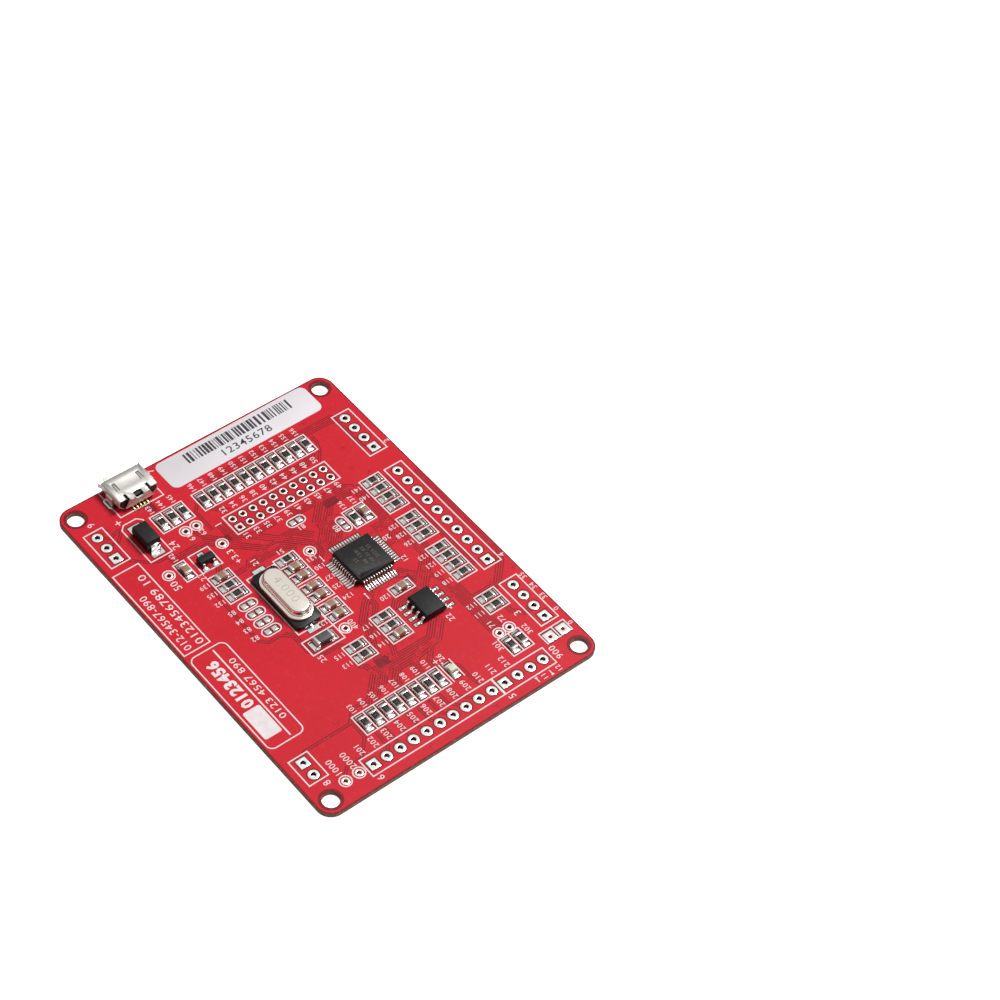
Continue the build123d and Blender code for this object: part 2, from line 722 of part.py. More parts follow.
# ---------------------------------------------------------------- printed outlines
header_frame_side = 1.75
header_frame_ahead = 1.35
title_box = (10.5, 23.7, 19.0, 4.8)
badge_box = (-10.4, 22.78, 21.0, 6.7)
badge_radius = 1.2
badge_rule_y = 21.9
badge_rule_length = 19.6
badge_block = (-15.85, 23.9, 5.9, 3.15)
badge_block_radius = 0.35
badge_rule_width = 0.25
fine_frame_margin = 1.15
crystal_frame_length = 13.4
crystal_frame_width = 5.3
regulator_frame_length = 4.1
regulator_frame_width = 3.75
package_frame_shift = 0.2
diode_frame_length = 8.9
diode_frame_width = 4.2
diode_frame_chamfer = 0.85
ground_frame_length = 2.3
ground_frame_width = 5.0
ground_frame_shift = 0.25
usb_frame_margin = 0.35
usb_frame_end_gap = 0.1
led_dot_dia = 0.32
led_dot_offset = (0.1, 0.35)


def make_silkscreen(openings):
    lines = []
    for (x, y), direction, kinds in chip_banks:
        x, y = place(x, y)
        across = len(kinds) * cell_pitch
        if direction == "X":
            lines.append(frame(x, y, cell_length, across, len(kinds), "Y"))
        else:
            lines.append(frame(x, y, across, cell_length, len(kinds), "X"))
    pins = [xy for xy, _ in header_pins()]
    first = 0
    for _, count, (step_x, _) in header_rows:
        row = pins[first:first + count]
        first += count
        x = (row[0][0] + row[-1][0]) / 2
        y = (row[0][1] + row[-1][1]) / 2
        run = (count - 1) * header_pitch + 2 * header_frame_ahead
        if step_x:
            lines.append(frame(x, y, run, 2 * header_frame_side))
        else:
            lines.append(frame(x, y, 2 * header_frame_side, run))
    fine = [xy for xy, _ in fine_pins()]
    x = (fine[0][0] + fine[-1][0]) / 2
    y = (fine[0][1] + fine[-1][1]) / 2
    run = (fine_header_rows - 1) * fine_pitch + 2 * fine_frame_margin
    lines.append(frame(x, y, fine_pitch + 2 * fine_frame_margin, run))
    lines += [ring(place(*xy), test_ring_dia) for xy in test_points]
    lines += [stadium(place(*xy), direction, jumper_outline_length, jumper_outline_width)
              for xy, direction in solder_jumpers]

    x, y = led_centre()
    for side in (-1, 1):
        lines.append(Pos(x, y + side * cell_pitch / 2) * Rectangle(cell_length, silkscreen_line))
    lines.append(Pos(x + cell_length / 2 - led_dot_offset[0], y + led_dot_offset[1])
                 * Circle(led_dot_dia / 2))
    lines.append(frame(*place(*ferrite_place), ferrite_cell_width, ferrite_cell_length))
    lines.append(frame(*place(*crystal_place), crystal_frame_length, crystal_frame_width))
    x, y = place(*regulator_place)
    lines.append(frame(x + package_frame_shift, y, regulator_frame_length,
                       regulator_frame_width))
    x, y = place(*diode_place)
    half = diode_frame_length / 2
    side = diode_frame_width / 2
    cut = diode_frame_chamfer
    outline = [(-half, -side), (half - cut, -side), (half, cut - side), (half, side - cut),
               (half - cut, side), (-half, side)]
    diode_box = make_face(Polyline(*outline, close=True))
    lines.append(Pos(x + package_frame_shift, y)
                 * (diode_box - offset(diode_box, -silkscreen_line)))
    first_pad, second_pad = [place(*xy) for xy in ground_pads]
    lines.append(frame(first_pad[0] + ground_frame_shift, (first_pad[1] + second_pad[1]) / 2,
                       ground_frame_length, ground_frame_width, 2, "Y"))
    left = usb_heel_x - usb_contact_foot - usb_frame_end_gap
    right = board_length / 2 - usb_frame_end_gap
    lines.append(frame((left + right) / 2, usb_place_y, right - left,
                       usb_width + 2 * usb_frame_margin))

    x, y, length, width = title_box
    lines.append(frame(*place(x, y), length, width))
    x, y, length, width = badge_box
    x, y = place(x, y)
    badge = RectangleRounded(length, width, badge_radius)
    lines.append(Pos(x, y) * (badge - offset(badge, -silkscreen_line)))
    lines.append(Pos(x, place(0, badge_rule_y)[1]) * Rectangle(badge_rule_length, badge_rule_width))
    bx, by, length, width = badge_block
    lines.append(Pos(*place(bx, by)) * RectangleRounded(length, width, badge_block_radius))

    drawing = Sketch() + lines - openings
    save(plate(drawing, z_board, silkscreen_thickness), "silkscreen")


# ---------------------------------------------------------------- chip parts
def end_cap(length, width, height, cap, skin):
    """One plated end of a chip, wrapped round its core."""
    outer = Pos((length - cap) / 2, 0, 0) * block(cap, width, height)
    core = block(length - 2 * skin, width - 2 * skin, height - 2 * skin, skin)
    return outer - core


def both_ends(shape):
    return [shape, Rot(0, 0, 180) * shape]


def chip_core(length, width, height, skin):
    return block(length - 2 * skin, width - 2 * skin, height - 2 * skin, skin)


def solder_wedge(length, width, span):
    """The solder that climbs a chip's end from the outer part of its land."""
    start = length / 2
    end = span / 2
    side = [(start, 0), (end, 0),
            (start + (end - start) * fillet_knee_out, fillet_height * fillet_knee_up),
            (start, fillet_height)]
    face = Plane.XZ * make_face(Polyline(*side, close=True))
    return Pos(0, width / 2, 0) * extrude(face, width)


def make_chips():
    resistors = [chip for chip in chips if chip[2] == "r"]
    capacitors = [chip for chip in chips if chip[2] == "c"]

    core = chip_core(chip_length, chip_width, resistor_height, chip_plating)
    top = resistor_height - chip_plating
    film = block(chip_length - 2 * chip_cap, film_width, film_thickness, top)
    glaze = block(chip_length - 2 * chip_cap, film_width, glaze_thickness, top + film_thickness)
    caps = both_ends(end_cap(chip_length, chip_width, resistor_height, chip_cap, chip_plating))
    save([chip_at(core, chip) for chip in resistors], "resistor_substrates")
    save([chip_at(film, chip) for chip in resistors], "resistor_films")
    save([chip_at(glaze, chip) for chip in resistors], "resistor_glaze")
    save([chip_at(cap, chip) for chip in resistors for cap in caps], "resistor_end_caps")

    core = chip_core(chip_length, chip_width, capacitor_height, chip_plating)
    caps = both_ends(end_cap(chip_length, chip_width, capacitor_height, chip_cap, chip_plating))
    save([chip_at(core, chip) for chip in capacitors], "capacitor_bodies")
    save([chip_at(cap, chip) for chip in capacitors for cap in caps], "capacitor_end_caps")

    bead = (place(*ferrite_place), "Y", "f")
    core = chip_core(ferrite_length, ferrite_width, ferrite_height, chip_plating)
    caps = both_ends(end_cap(ferrite_length, ferrite_width, ferrite_height, ferrite_cap,
                             chip_plating))
    save(chip_at(core, bead), "ferrite_bead_body")
    save([chip_at(cap, bead) for cap in caps], "ferrite_bead_end_caps")

    wedges = both_ends(solder_wedge(chip_length, chip_width - 2 * fillet_width_margin, land_span))
    solder = [chip_at(wedge, chip) for chip in chips for wedge in wedges]
    led = (led_centre(), "X", "l")
    solder += [chip_at(wedge, led) for wedge in wedges]
    wedges = both_ends(solder_wedge(ferrite_length, ferrite_width - 2 * fillet_width_margin,
                                    ferrite_land_span))
    solder += [chip_at(wedge, bead) for wedge in wedges]
    save(solder, "solder_fillets")


def make_led():
    led = (led_centre(), "X", "l")
    base = chip_core(chip_length, chip_width, led_base_height, chip_plating)
    caps = both_ends(end_cap(chip_length, chip_width, led_base_height, chip_cap, chip_plating))
    lens_foot = led_base_height - chip_plating
    die = block(led_die_side, led_die_side, led_die_height, lens_foot)
    lens = extrude(Rectangle(chip_length - 2 * chip_cap, chip_width - 2 * chip_plating),
                   led_lens_height, taper=draft_angle)
    save(chip_at(base, led), "led_base")
    save([chip_at(cap, led) for cap in caps], "led_terminals")
    save(chip_at(Pos(0, 0, lens_foot) * lens - die, led), "led_lens")
    save(chip_at(die, led), "led_die")


# ---------------------------------------------------------------- moulded packages
def gull_lead(body, span, standoff, body_height, thickness, width):
    """A lead that leaves a package at its parting line and steps down to a flat foot."""
    shoulder = standoff + body_height / 2
    edge = body / 2
    foot = span / 2
    reach = foot - edge
    bend = edge + reach * lead_level_share
    points = [(edge - reach * lead_buried_share, shoulder), (bend, shoulder),
              (bend + reach * lead_slope_share, thickness / 2), (foot, thickness / 2)]
    return bent_strip(points, thickness, width)


def row_of_leads(lead, count, pitch, turns):
    leads = []
    for turn in turns:
        for i in range(count):
            along = (i - (count - 1) / 2) * pitch
            leads.append(Rot(0, 0, turn) * Pos(0, along, 0) * lead)
    return leads


def stand(shape, xy, turn=0):
    return Pos(*place(*xy), z_pad) * Rot(0, 0, turn) * shape


def make_mcu():
    lead = gull_lead(mcu_body_side, mcu_lead_span, mcu_standoff, mcu_body_height,
                     mcu_lead_thickness, mcu_lead_width)
    leads = row_of_leads(lead, mcu_leads_per_side, mcu_lead_pitch, (0, 90, 180, 270))
    middle = mcu_standoff + mcu_body_height / 2
    paddle = block(mcu_paddle_side, mcu_paddle_side, paddle_thickness, middle - paddle_thickness)
    die = block(mcu_die_side, mcu_die_side, die_thickness, middle)
    body = moulded_body(mcu_body_side, mcu_body_side, mcu_body_height, mcu_standoff)
    corner = mcu_body_side / 2 - dimple_inset
    dimple = Pos(corner, corner, mcu_standoff + mcu_body_height) * Cylinder(
        dimple_dia / 2, 2 * dimple_depth)
    body = body - dimple - paddle - die - leads
    save(stand(body, mcu_place), "microcontroller_body")
    save([stand(lead, mcu_place) for lead in leads], "microcontroller_leads")
    save(stand(paddle, mcu_place), "microcontroller_die_paddle")
    save(stand(die, mcu_place), "microcontroller_die")


def make_eight_lead_ic():
    lead = gull_lead(ic_body_width, ic_lead_span, ic_standoff, ic_body_height,
                     ic_lead_thickness, ic_lead_width)
    leads = row_of_leads(lead, ic_leads_per_side, ic_lead_pitch, (90, 270))
    middle = ic_standoff + ic_body_height / 2
    die = block(ic_die_length, ic_die_width, die_thickness, middle)
    body = moulded_body(ic_body_length, ic_body_width, ic_body_height, ic_standoff)
    dimple = Pos(dimple_inset - ic_body_length / 2, dimple_inset - ic_body_width / 2,
                 ic_standoff + ic_body_height) * Cylinder(dimple_dia / 2, 2 * dimple_depth)
    body = body - dimple - die - leads
    save(stand(body, ic_place), "eight_lead_ic_body")
    save([stand(lead, ic_place) for lead in leads], "eight_lead_ic_leads")
    save(stand(die, ic_place), "eight_lead_ic_die")


def make_regulator():
    lead = gull_lead(regulator_body_width, regulator_lead_span, regulator_standoff,
                     regulator_body_height, regulator_lead_thickness, regulator_lead_width)
    leads = (row_of_leads(lead, 1, 0, (0,))
             + row_of_leads(lead, 2, 2 * regulator_lead_offset, (180,)))
    middle = regulator_standoff + regulator_body_height / 2
    die = block(regulator_die_side, regulator_die_side, die_thickness / 2, middle)
    body = moulded_body(regulator_body_width, regulator_body_length, regulator_body_height,
                        regulator_standoff)
    body = body - die - leads
    save(stand(body, regulator_place), "regulator_body")
    save([stand(lead, regulator_place) for lead in leads], "regulator_leads")
    save(stand(die, regulator_place), "regulator_die")


def make_diode():
    half_span = diode_lead_span / 2
    middle = diode_standoff + diode_body_height / 2
    outside = half_span - diode_lead_thickness / 2
    sole = diode_lead_thickness / 2
    points = [(diode_die_side / 2, middle), (outside, middle), (outside, sole),
              (half_span - diode_lead_foot, sole)]
    lead = bent_strip(points, diode_lead_thickness, diode_lead_width)
    leads = row_of_leads(lead, 1, 0, (0, 180))
    die = block(diode_die_side, diode_die_side, diode_lead_thickness,
                middle - diode_lead_thickness / 2)
    body = moulded_body(diode_body_length, diode_body_width, diode_body_height, diode_standoff)
    body = body - die - leads
    save(stand(body, diode_place), "power_diode_body")
    save([stand(lead, diode_place) for lead in leads], "power_diode_leads")
    save(stand(die, diode_place), "power_diode_die")


# ---------------------------------------------------------------- crystal
def oblong(length, width, height, z=0.0):
    return Pos(0, 0, z) * extrude(SlotOverall(length, width), height)


def make_crystal():
    header_z = crystal_seat_height
    can_z = header_z + crystal_header_thickness
    sole = crystal_lead_thickness / 2
    post = crystal_lead_spacing / 2
    points = [(post, can_z + crystal_lead_rise), (post, sole), (crystal_lead_reach, sole)]
    leads = row_of_leads(bent_strip(points, crystal_lead_thickness, crystal_lead_width),
                         1, 0, (0, 180))
    seat = block(crystal_seat_length, crystal_seat_width, crystal_seat_height)
    seat = chamfer(seat.edges().filter_by(Axis.Z), crystal_seat_chamfer)
    header = oblong(crystal_header_length, crystal_header_width, crystal_header_thickness,
                    header_z)
    inner_length = crystal_can_length - 2 * crystal_can_wall
    inner_width = crystal_can_width - 2 * crystal_can_wall
    can = oblong(crystal_can_length, crystal_can_width, crystal_can_height, can_z)
    can = fillet(can.edges().group_by(Axis.Z)[-1], crystal_can_rounding)
    can -= oblong(inner_length, inner_width, crystal_can_height - crystal_can_wall, can_z)
    rim = SlotOverall(crystal_header_length, crystal_header_width)
    rim -= SlotOverall(inner_length, inner_width)
    can += Pos(0, 0, can_z) * extrude(rim, crystal_can_wall)
    blank_y = (crystal_lead_width + blank_thickness) / 2
    blank = Pos(0, blank_y, 0) * block(blank_length, blank_thickness, blank_height,
                                       can_z + blank_lift)
    save(stand(seat - leads, crystal_place), "crystal_seat")
    save(stand(header - leads, crystal_place), "crystal_header_plate")
    save(stand(can, crystal_place), "crystal_can")
    save([stand(lead, crystal_place) for lead in leads], "crystal_leads")
    save(stand(blank, crystal_place), "crystal_quartz_blank")


# ---------------------------------------------------------------- micro-USB socket
def usb_section(inset):
    """The socket's outline seen from its mouth, inset by a wall. Its lower corners taper in."""
    half = usb_width / 2 - inset
    top = usb_height - inset
    foot = half - usb_taper_width
    knee = usb_taper_height
    points = [(-foot, inset), (foot, inset), (half, knee), (half, top), (-half, top),
              (-half, knee)]
    face = make_face(Polyline(*points, close=True))
    radius = max(usb_corner_radius - inset, usb_inner_radius_least)
    return fillet(face.vertices().group_by(Axis.Y)[-1], radius)


def along_x(face, length, **options):
    """A YZ outline pushed out along +X from x = 0."""
    return extrude(Plane.YZ * face, length, **options)


def make_usb():
    outer = usb_section(0)
    inner = usb_section(usb_wall)
    shell = along_x(outer - inner, usb_depth)
    lip = Pos(usb_depth, 0, 0) * (along_x(outer, usb_lip_depth, taper=-usb_lip_flare)
                                  - along_x(inner, usb_lip_depth, taper=-usb_lip_flare))
    room = 2 * usb_width
    lip &= block(room, room, room, usb_lip_foot)
    corner_y = usb_lip_width / 2 + room / 2
    for side in (-1, 1):
        lip -= Pos(usb_depth + usb_lip_depth, side * corner_y, 0) * block(
            2 * usb_lip_depth, room, room, usb_lip_corner_z)
    shell += lip
    top_z = usb_height - 2 * usb_wall
    for side in (-1, 1):
        window_x = usb_depth - usb_window_setback - usb_window_length / 2
        window = Pos(window_x, side * usb_window_offset, 0) * block(
            usb_window_length, usb_window_width, 3 * usb_wall, top_z)
        finger = Pos(window_x - usb_finger_slit, side * usb_window_offset, 0) * block(
            usb_window_length, usb_finger_width, 3 * usb_wall, top_z)
        shell -= window - finger
        shell -= Pos(0, side * usb_slot_offset, 0) * block(
            2 * usb_slot_length, usb_slot_width, 3 * usb_wall, top_z)
    notch = RectangleRounded(2 * usb_notch_depth, usb_notch_width, usb_notch_radius)
    back = [(-usb_back_foot_width / 2, usb_height - usb_back_drop),
            (usb_back_foot_width / 2, usb_height - usb_back_drop),
            (usb_back_top_width / 2, usb_height), (-usb_back_top_width / 2, usb_height)]
    wall = Pos(-usb_back_setback - usb_wall, 0, 0) * along_x(
        make_face(Polyline(*back, close=True)), usb_wall)
    bridge = Pos(-usb_back_setback / 2, 0, 0) * block(
        usb_back_setback, usb_back_top_width, usb_wall, usb_height - usb_wall)
    shell = shell + wall + bridge
    shell -= Pos(0, 0, top_z) * extrude(notch, 3 * usb_wall)
    for side in (-1, 1):
        reach = usb_width / 2 + usb_tab_gap + usb_wall / 2
        tab_x = usb_depth + usb_lip_depth - usb_tab_setback
        drop = z_board - mask_thickness
        tab = Pos(tab_x, side * reach, 0) * block(
            usb_tab_length, usb_wall, usb_tab_height + drop, -drop)
        link_y = side * (usb_width / 2 + usb_tab_gap / 2)
        link = Pos(tab_x, link_y, 0) * block(
            usb_tab_length, usb_tab_gap + 2 * usb_link_overlap, usb_link_height,
            usb_taper_height + usb_link_lift)
        shell = shell + tab + link

    tongue_x = usb_depth + usb_lip_depth - usb_tongue_setback
    block_front = usb_insulator_depth
    section = usb_section(usb_wall + usb_insulator_gap)
    body = Pos(-usb_insulator_back, 0, 0) * along_x(section, usb_insulator_back + block_front)
    body -= Pos(-usb_insulator_back / 2, 0, 0) * block(usb_insulator_back, room, room,
                                                       usb_height - usb_back_drop
                                                       - usb_insulator_under_flap)
    heel = Pos(-usb_insulator_back / 2, 0, 0) * block(
        usb_insulator_back, usb_back_foot_width,
        usb_height - usb_back_drop - usb_heel_under_flap,
        usb_wall + usb_insulator_gap)
    tongue = Pos(tongue_x / 2, 0, 0) * block(tongue_x, usb_tongue_width, usb_tongue_thickness,
                                             usb_tongue_lift)
    insulator = body + heel + tongue
    contact_z = usb_tongue_lift - usb_contact_thickness / 2
    sole = usb_contact_thickness / 2
    bend_out, bend_in, bend_up = usb_contact_bend
    points = [(tongue_x - usb_contact_tip_gap, contact_z), (bend_out, contact_z),
              (bend_in, sole + bend_up),
              (-usb_insulator_back, sole), (-usb_insulator_back - usb_contact_foot, sole)]
    contact = bent_strip(points, usb_contact_thickness, usb_contact_width)
    contacts = [Pos(0, i * usb_contact_pitch, 0) * contact for i in range(-2, 3)]
    socket = Pos(usb_back_x, usb_place_y, z_pad)
    save(socket * shell, "usb_shell")
    save(socket * (insulator - contacts - shell), "usb_insulator")
    save([socket * contact for contact in contacts], "usb_contacts")


def make_label():
    x = board_length / 2 - layout_length / 2 + label_x
    y = usb_place_y - usb_width / 2 - label_to_usb_gap - label_length / 2
    outline = RectangleRounded(label_width, label_length, label_corner_radius)
    sheet = extrude(Rot(0, 0, label_turn) * outline, label_thickness)
    save(Pos(x, y, z_board) * sheet, "label")


os.makedirs("parts", exist_ok=True)
mask_openings = make_board()
make_silkscreen(mask_openings)
make_chips()
make_led()
make_mcu()
make_eight_lead_ic()
make_regulator()
make_diode()
make_crystal()
make_usb()
make_label()
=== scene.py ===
# %% [markdown]
# # A small red controller board
# The real object is a thin two-layer circuit board: glass-epoxy laminate, copper, a red
# lacquer called solder mask, white ink, and some ninety soldered parts. The CAD model gives
# every part its true place and size. This lesson keeps those, and gives each part the soft
# edges, solder, print and finish that the CAD leaves out.
#
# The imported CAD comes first, because every piece takes its place from it.

# %% Load the measured board
import json
import math
import random
import bmesh
import bpy
from mathutils import Matrix, Quaternion, Vector

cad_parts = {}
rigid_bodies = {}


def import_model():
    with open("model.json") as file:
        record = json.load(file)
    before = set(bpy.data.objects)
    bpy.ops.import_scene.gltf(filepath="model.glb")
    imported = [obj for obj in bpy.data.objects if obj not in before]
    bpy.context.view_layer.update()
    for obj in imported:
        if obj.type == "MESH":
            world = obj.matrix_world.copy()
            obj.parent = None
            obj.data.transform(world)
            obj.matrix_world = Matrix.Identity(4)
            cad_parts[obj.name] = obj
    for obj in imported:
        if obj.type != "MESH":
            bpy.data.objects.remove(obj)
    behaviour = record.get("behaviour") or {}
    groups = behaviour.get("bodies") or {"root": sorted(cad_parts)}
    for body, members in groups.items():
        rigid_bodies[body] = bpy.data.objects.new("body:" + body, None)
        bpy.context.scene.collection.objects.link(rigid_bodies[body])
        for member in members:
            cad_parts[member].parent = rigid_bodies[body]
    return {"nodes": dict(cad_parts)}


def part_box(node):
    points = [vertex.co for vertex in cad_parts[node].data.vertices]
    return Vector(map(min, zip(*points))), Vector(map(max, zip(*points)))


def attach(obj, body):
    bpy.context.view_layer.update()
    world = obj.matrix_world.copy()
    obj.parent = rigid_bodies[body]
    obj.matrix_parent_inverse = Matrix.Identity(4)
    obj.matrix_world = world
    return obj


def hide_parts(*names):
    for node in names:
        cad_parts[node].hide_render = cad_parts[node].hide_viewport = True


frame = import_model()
for left_over in [o for o in bpy.data.objects if o.name in ("Cube", "Light", "Camera")]:
    bpy.data.objects.remove(left_over)
nodes = frame["nodes"]
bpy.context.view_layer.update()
mm = 0.001

# %% [markdown]
# ## Tools for working by hand
# Modelling in Blender means: add a primitive, go into edit mode, choose some faces or edges,
# run an operator, and finish with modifiers. An operator acts on everything that is selected,
# so each helper first lets go of everything. Faces and edges are chosen in code by a rule
# about their place or direction, which is what a hand and an eye would do with a mouse.

# %% Selecting and settling
def take(*pieces):
    """Select only these pieces, with the first one active."""
    bpy.ops.object.select_all(action="DESELECT")
    for piece in pieces:
        piece.select_set(True)
    bpy.context.view_layer.objects.active = pieces[0]


def settle(piece):
    """Put a piece's place, turn and size into its mesh, so that its object is at the origin."""
    take(piece)
    bpy.ops.object.transform_apply(location=True, rotation=True, scale=True)
    return piece


def choose(piece, kind, rule):
    """Go into edit mode with the faces or edges chosen for which the rule is true."""
    take(piece)
    bpy.ops.object.mode_set(mode="EDIT")
    bpy.ops.mesh.select_mode(type=kind)
    bpy.ops.mesh.select_all(action="DESELECT")
    shape = bmesh.from_edit_mesh(piece.data)
    parts = {"FACE": shape.faces, "EDGE": shape.edges, "VERT": shape.verts}[kind]
    for part in [part for part in parts if rule(part)]:
        part.select_set(True)
    shape.select_flush_mode()
    bmesh.update_edit_mesh(piece.data)


def done():
    """Leave edit mode."""
    bpy.ops.object.mode_set(mode="OBJECT")


def middle(edge):
    """The middle of an edge."""
    return (edge.verts[0].co + edge.verts[1].co) / 2


def bevel(piece, rule, offset, segments, profile=0.5):
    """Bevel the edges for which the rule is true, by an offset in millimetres."""
    choose(piece, "EDGE", rule)
    bpy.ops.mesh.bevel(offset=offset * mm, segments=segments, profile=profile)
    done()


def draw_in(piece, x, y, way=1):
    """Shrink the top face of a piece to these shares, or with way -1 its bottom face."""
    choose(piece, "FACE", lambda f: f.normal.z * way > 0.9)
    bpy.ops.transform.resize(value=(x, y, 1))
    done()


print("hand tools ready")

# %% [markdown]
# ## Primitives and finishing
# A block and a disc are starting shapes only. Rounding is a Bevel modifier that is applied at
# once: real moulded, stamped and fired parts never have a perfectly sharp edge, and it is the
# rounded edge that catches the light. Copies of one model are joined, because parts of one
# kind are one piece in the CAD too.

# %% Starting shapes, rounding and copies
def block(name, size, place=(0, 0, 0)):
    """A box of this size, standing on the place, in millimetres."""
    bpy.ops.object.select_all(action="DESELECT")
    x, y, z = place
    centre = Vector((x, y, z + size[2] / 2)) * mm
    bpy.ops.mesh.primitive_cube_add(size=1, location=centre)
    piece = bpy.context.object
    piece.name = name
    piece.scale = Vector(size) * mm
    return settle(piece)


def disc(name, radius, height, place=(0, 0, 0), sides=32):
    """A short cylinder standing on the place, in millimetres."""
    bpy.ops.object.select_all(action="DESELECT")
    x, y, z = place
    centre = Vector((x, y, z + height / 2)) * mm
    bpy.ops.mesh.primitive_cylinder_add(vertices=sides, radius=radius * mm, depth=height * mm,
                                        location=centre, rotation=(0, 0, math.pi / sides))
    piece = bpy.context.object
    piece.name = name
    return settle(piece)


def smooth(piece, angle=40):
    """Shade a piece smooth where its faces meet at less than this angle."""
    take(piece)
    bpy.ops.object.shade_smooth_by_angle(angle=math.radians(angle))
    return piece


def apply(piece, kind, **values):
    """Give a piece a modifier with these values, and apply it."""
    modifier = piece.modifiers.new(kind.title(), kind)
    for key, value in values.items():
        setattr(modifier, key, value)
    take(piece)
    bpy.ops.object.modifier_apply(modifier=modifier.name)
    return piece


def rounded(piece, width, segments=2, angle=30):
    """Round the sharp edges of a piece by a width in millimetres."""
    apply(piece, "BEVEL", width=width * mm, segments=segments, limit_method="ANGLE",
          angle_limit=math.radians(angle))
    return smooth(piece)


def join(name, pieces):
    """Several pieces as one, under a new name."""
    take(*pieces)
    if len(pieces) > 1:
        bpy.ops.object.join()
    piece = bpy.context.object
    piece.name = name
    return piece


def spread(name, model, places):
    """One piece made of copies of a model at each (x, y, z, turn), in millimetres and degrees."""
    copies = []
    for x, y, z, turn in places:
        copy = model.copy()
        copy.data = model.data.copy()
        bpy.context.collection.objects.link(copy)
        move = Matrix.Translation(Vector((x, y, z)) * mm)
        copy.data.transform(move @ Matrix.Rotation(math.radians(turn), 4, "Z"))
        copies.append(copy)
    bpy.data.objects.remove(model)
    piece = join(name, copies)
    print(name, "-", len(places), "copies,", len(piece.data.polygons), "faces")
    return piece


# %% [markdown]
# ## Reading places from the CAD
# Many CAD nodes hold a whole family, such as all the resistor cores. Each core is one island
# of the node's mesh, and the island's box says where that resistor is, how large it is and
# which way it lies. So a model made once at the origin can be copied to every real place.

# %% The islands of a CAD node
square = {}


def islands(node):
    """The (centre, size) of each separate solid in a CAD node, in millimetres."""
    mesh = bmesh.new()
    mesh.from_mesh(nodes[node].data)
    bmesh.ops.remove_doubles(mesh, verts=mesh.verts, dist=1e-7)
    seen, found = set(), []
    for start in mesh.verts:
        if start in seen:
            continue
        seen.add(start)
        group, front = [], [start]
        while front:
            corner = front.pop()
            group.append(corner.co / mm)
            for edge in corner.link_edges:
                other = edge.other_vert(corner)
                if other not in seen:
                    seen.add(other)
                    front.append(other)
        low = Vector([min(p[i] for p in group) for i in range(3)])
        high = Vector([max(p[i] for p in group) for i in range(3)])
        found.append(((low + high) / 2, high - low))
        square[(node, len(found) - 1)] = any((p - high).length < 0.02 for p in group)
    mesh.free()
    return found


def box_of(node):
    """The middle and the size of a CAD node's box, in millimetres."""
    low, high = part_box(node)
    return (low + high) / 2 / mm, (high - low) / mm


def lying(node, z):
    """Places for copies of a part that was modelled along X, one on each island of a node."""
    return [(c.x, c.y, z, 0 if size.x > size.y else 90) for c, size in islands(node)]


def merged_copy(node, name):
    """A CAD node's mesh as a new piece, with its loose triangles merged into clean faces."""
    piece = bpy.data.objects.new(name, nodes[node].data.copy())
    piece.data.materials.clear()
    bpy.context.collection.objects.link(piece)
    take(piece)
    bpy.ops.object.mode_set(mode="EDIT")
    bpy.ops.mesh.select_all(action="SELECT")
    bpy.ops.mesh.remove_doubles(threshold=1e-7)
    bpy.ops.mesh.dissolve_limited(angle_limit=math.radians(0.5))
    done()
    return piece


board_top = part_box("solder_mask_top")[1].z / mm
board_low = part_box("solder_mask_bottom")[0].z / mm
pad_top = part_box("smd_lands")[1].z / mm
print("board top", round(board_top, 3), "mm, pads", round(pad_top, 3), "mm")

# %% [markdown]
# ## Finishes: what every material shares
# Three effects turn up on nearly every surface: a slow drift between two tones, a fine grain
# that roughens the shine and the surface, and a thin veil of dust and handling. Each is built
# once as a node group with named inputs, and each material places it with its own values.

# %% Shared node groups
def group_start(name, inputs, outputs):
    """A new shader node group with its sockets, and its two end nodes."""
    group = bpy.data.node_groups.new(name, "ShaderNodeTree")
    for socket, kind, value in inputs:
        item = group.interface.new_socket(socket, in_out="INPUT", socket_type=kind)
        item.default_value = value
    for socket, kind in outputs:
        group.interface.new_socket(socket, in_out="OUTPUT", socket_type=kind)
    return group, group.nodes.new("NodeGroupInput"), group.nodes.new("NodeGroupOutput")


def node(tree, kind, links=(), **values):
    """Add a node, set its properties and its in_ sockets, and link others into it."""
    new = tree.nodes.new(kind)
    for key, value in values.items():
        if key.startswith("in_"):
            socket = key[3:].replace("_", " ")
            new.inputs[int(socket) if socket.isdigit() else socket].default_value = value
        else:
            setattr(new, key, value)
    for source, target in links:
        tree.links.new(source, new.inputs[target])
    return new


number, colour_socket, vector = "NodeSocketFloat", "NodeSocketColor", "NodeSocketVector"

drift, start, end = group_start(
    "Tone drift",
    [("First", colour_socket, (1, 1, 1, 1)), ("Second", colour_socket, (0, 0, 0, 1)),
     ("Scale", number, 100.0), ("Amount", number, 0.5)],
    [("Colour", colour_socket)])
place = node(drift, "ShaderNodeTexCoord")
cloud = node(drift, "ShaderNodeTexNoise", [(place.outputs["Object"], "Vector"),
                                           (start.outputs["Scale"], "Scale")], in_Detail=4.0)
spread_out = node(drift, "ShaderNodeMapRange", [(cloud.outputs["Fac"], "Value")],
                  in_From_Min=0.35, in_From_Max=0.65)
share = node(drift, "ShaderNodeMath", [(spread_out.outputs["Result"], 0),
                                       (start.outputs["Amount"], 1)], operation="MULTIPLY")
blend = node(drift, "ShaderNodeMix", [(share.outputs[0], "Factor"), (start.outputs["First"], 6),
                                      (start.outputs["Second"], 7)], data_type="RGBA")
drift.links.new(blend.outputs[2], end.inputs["Colour"])

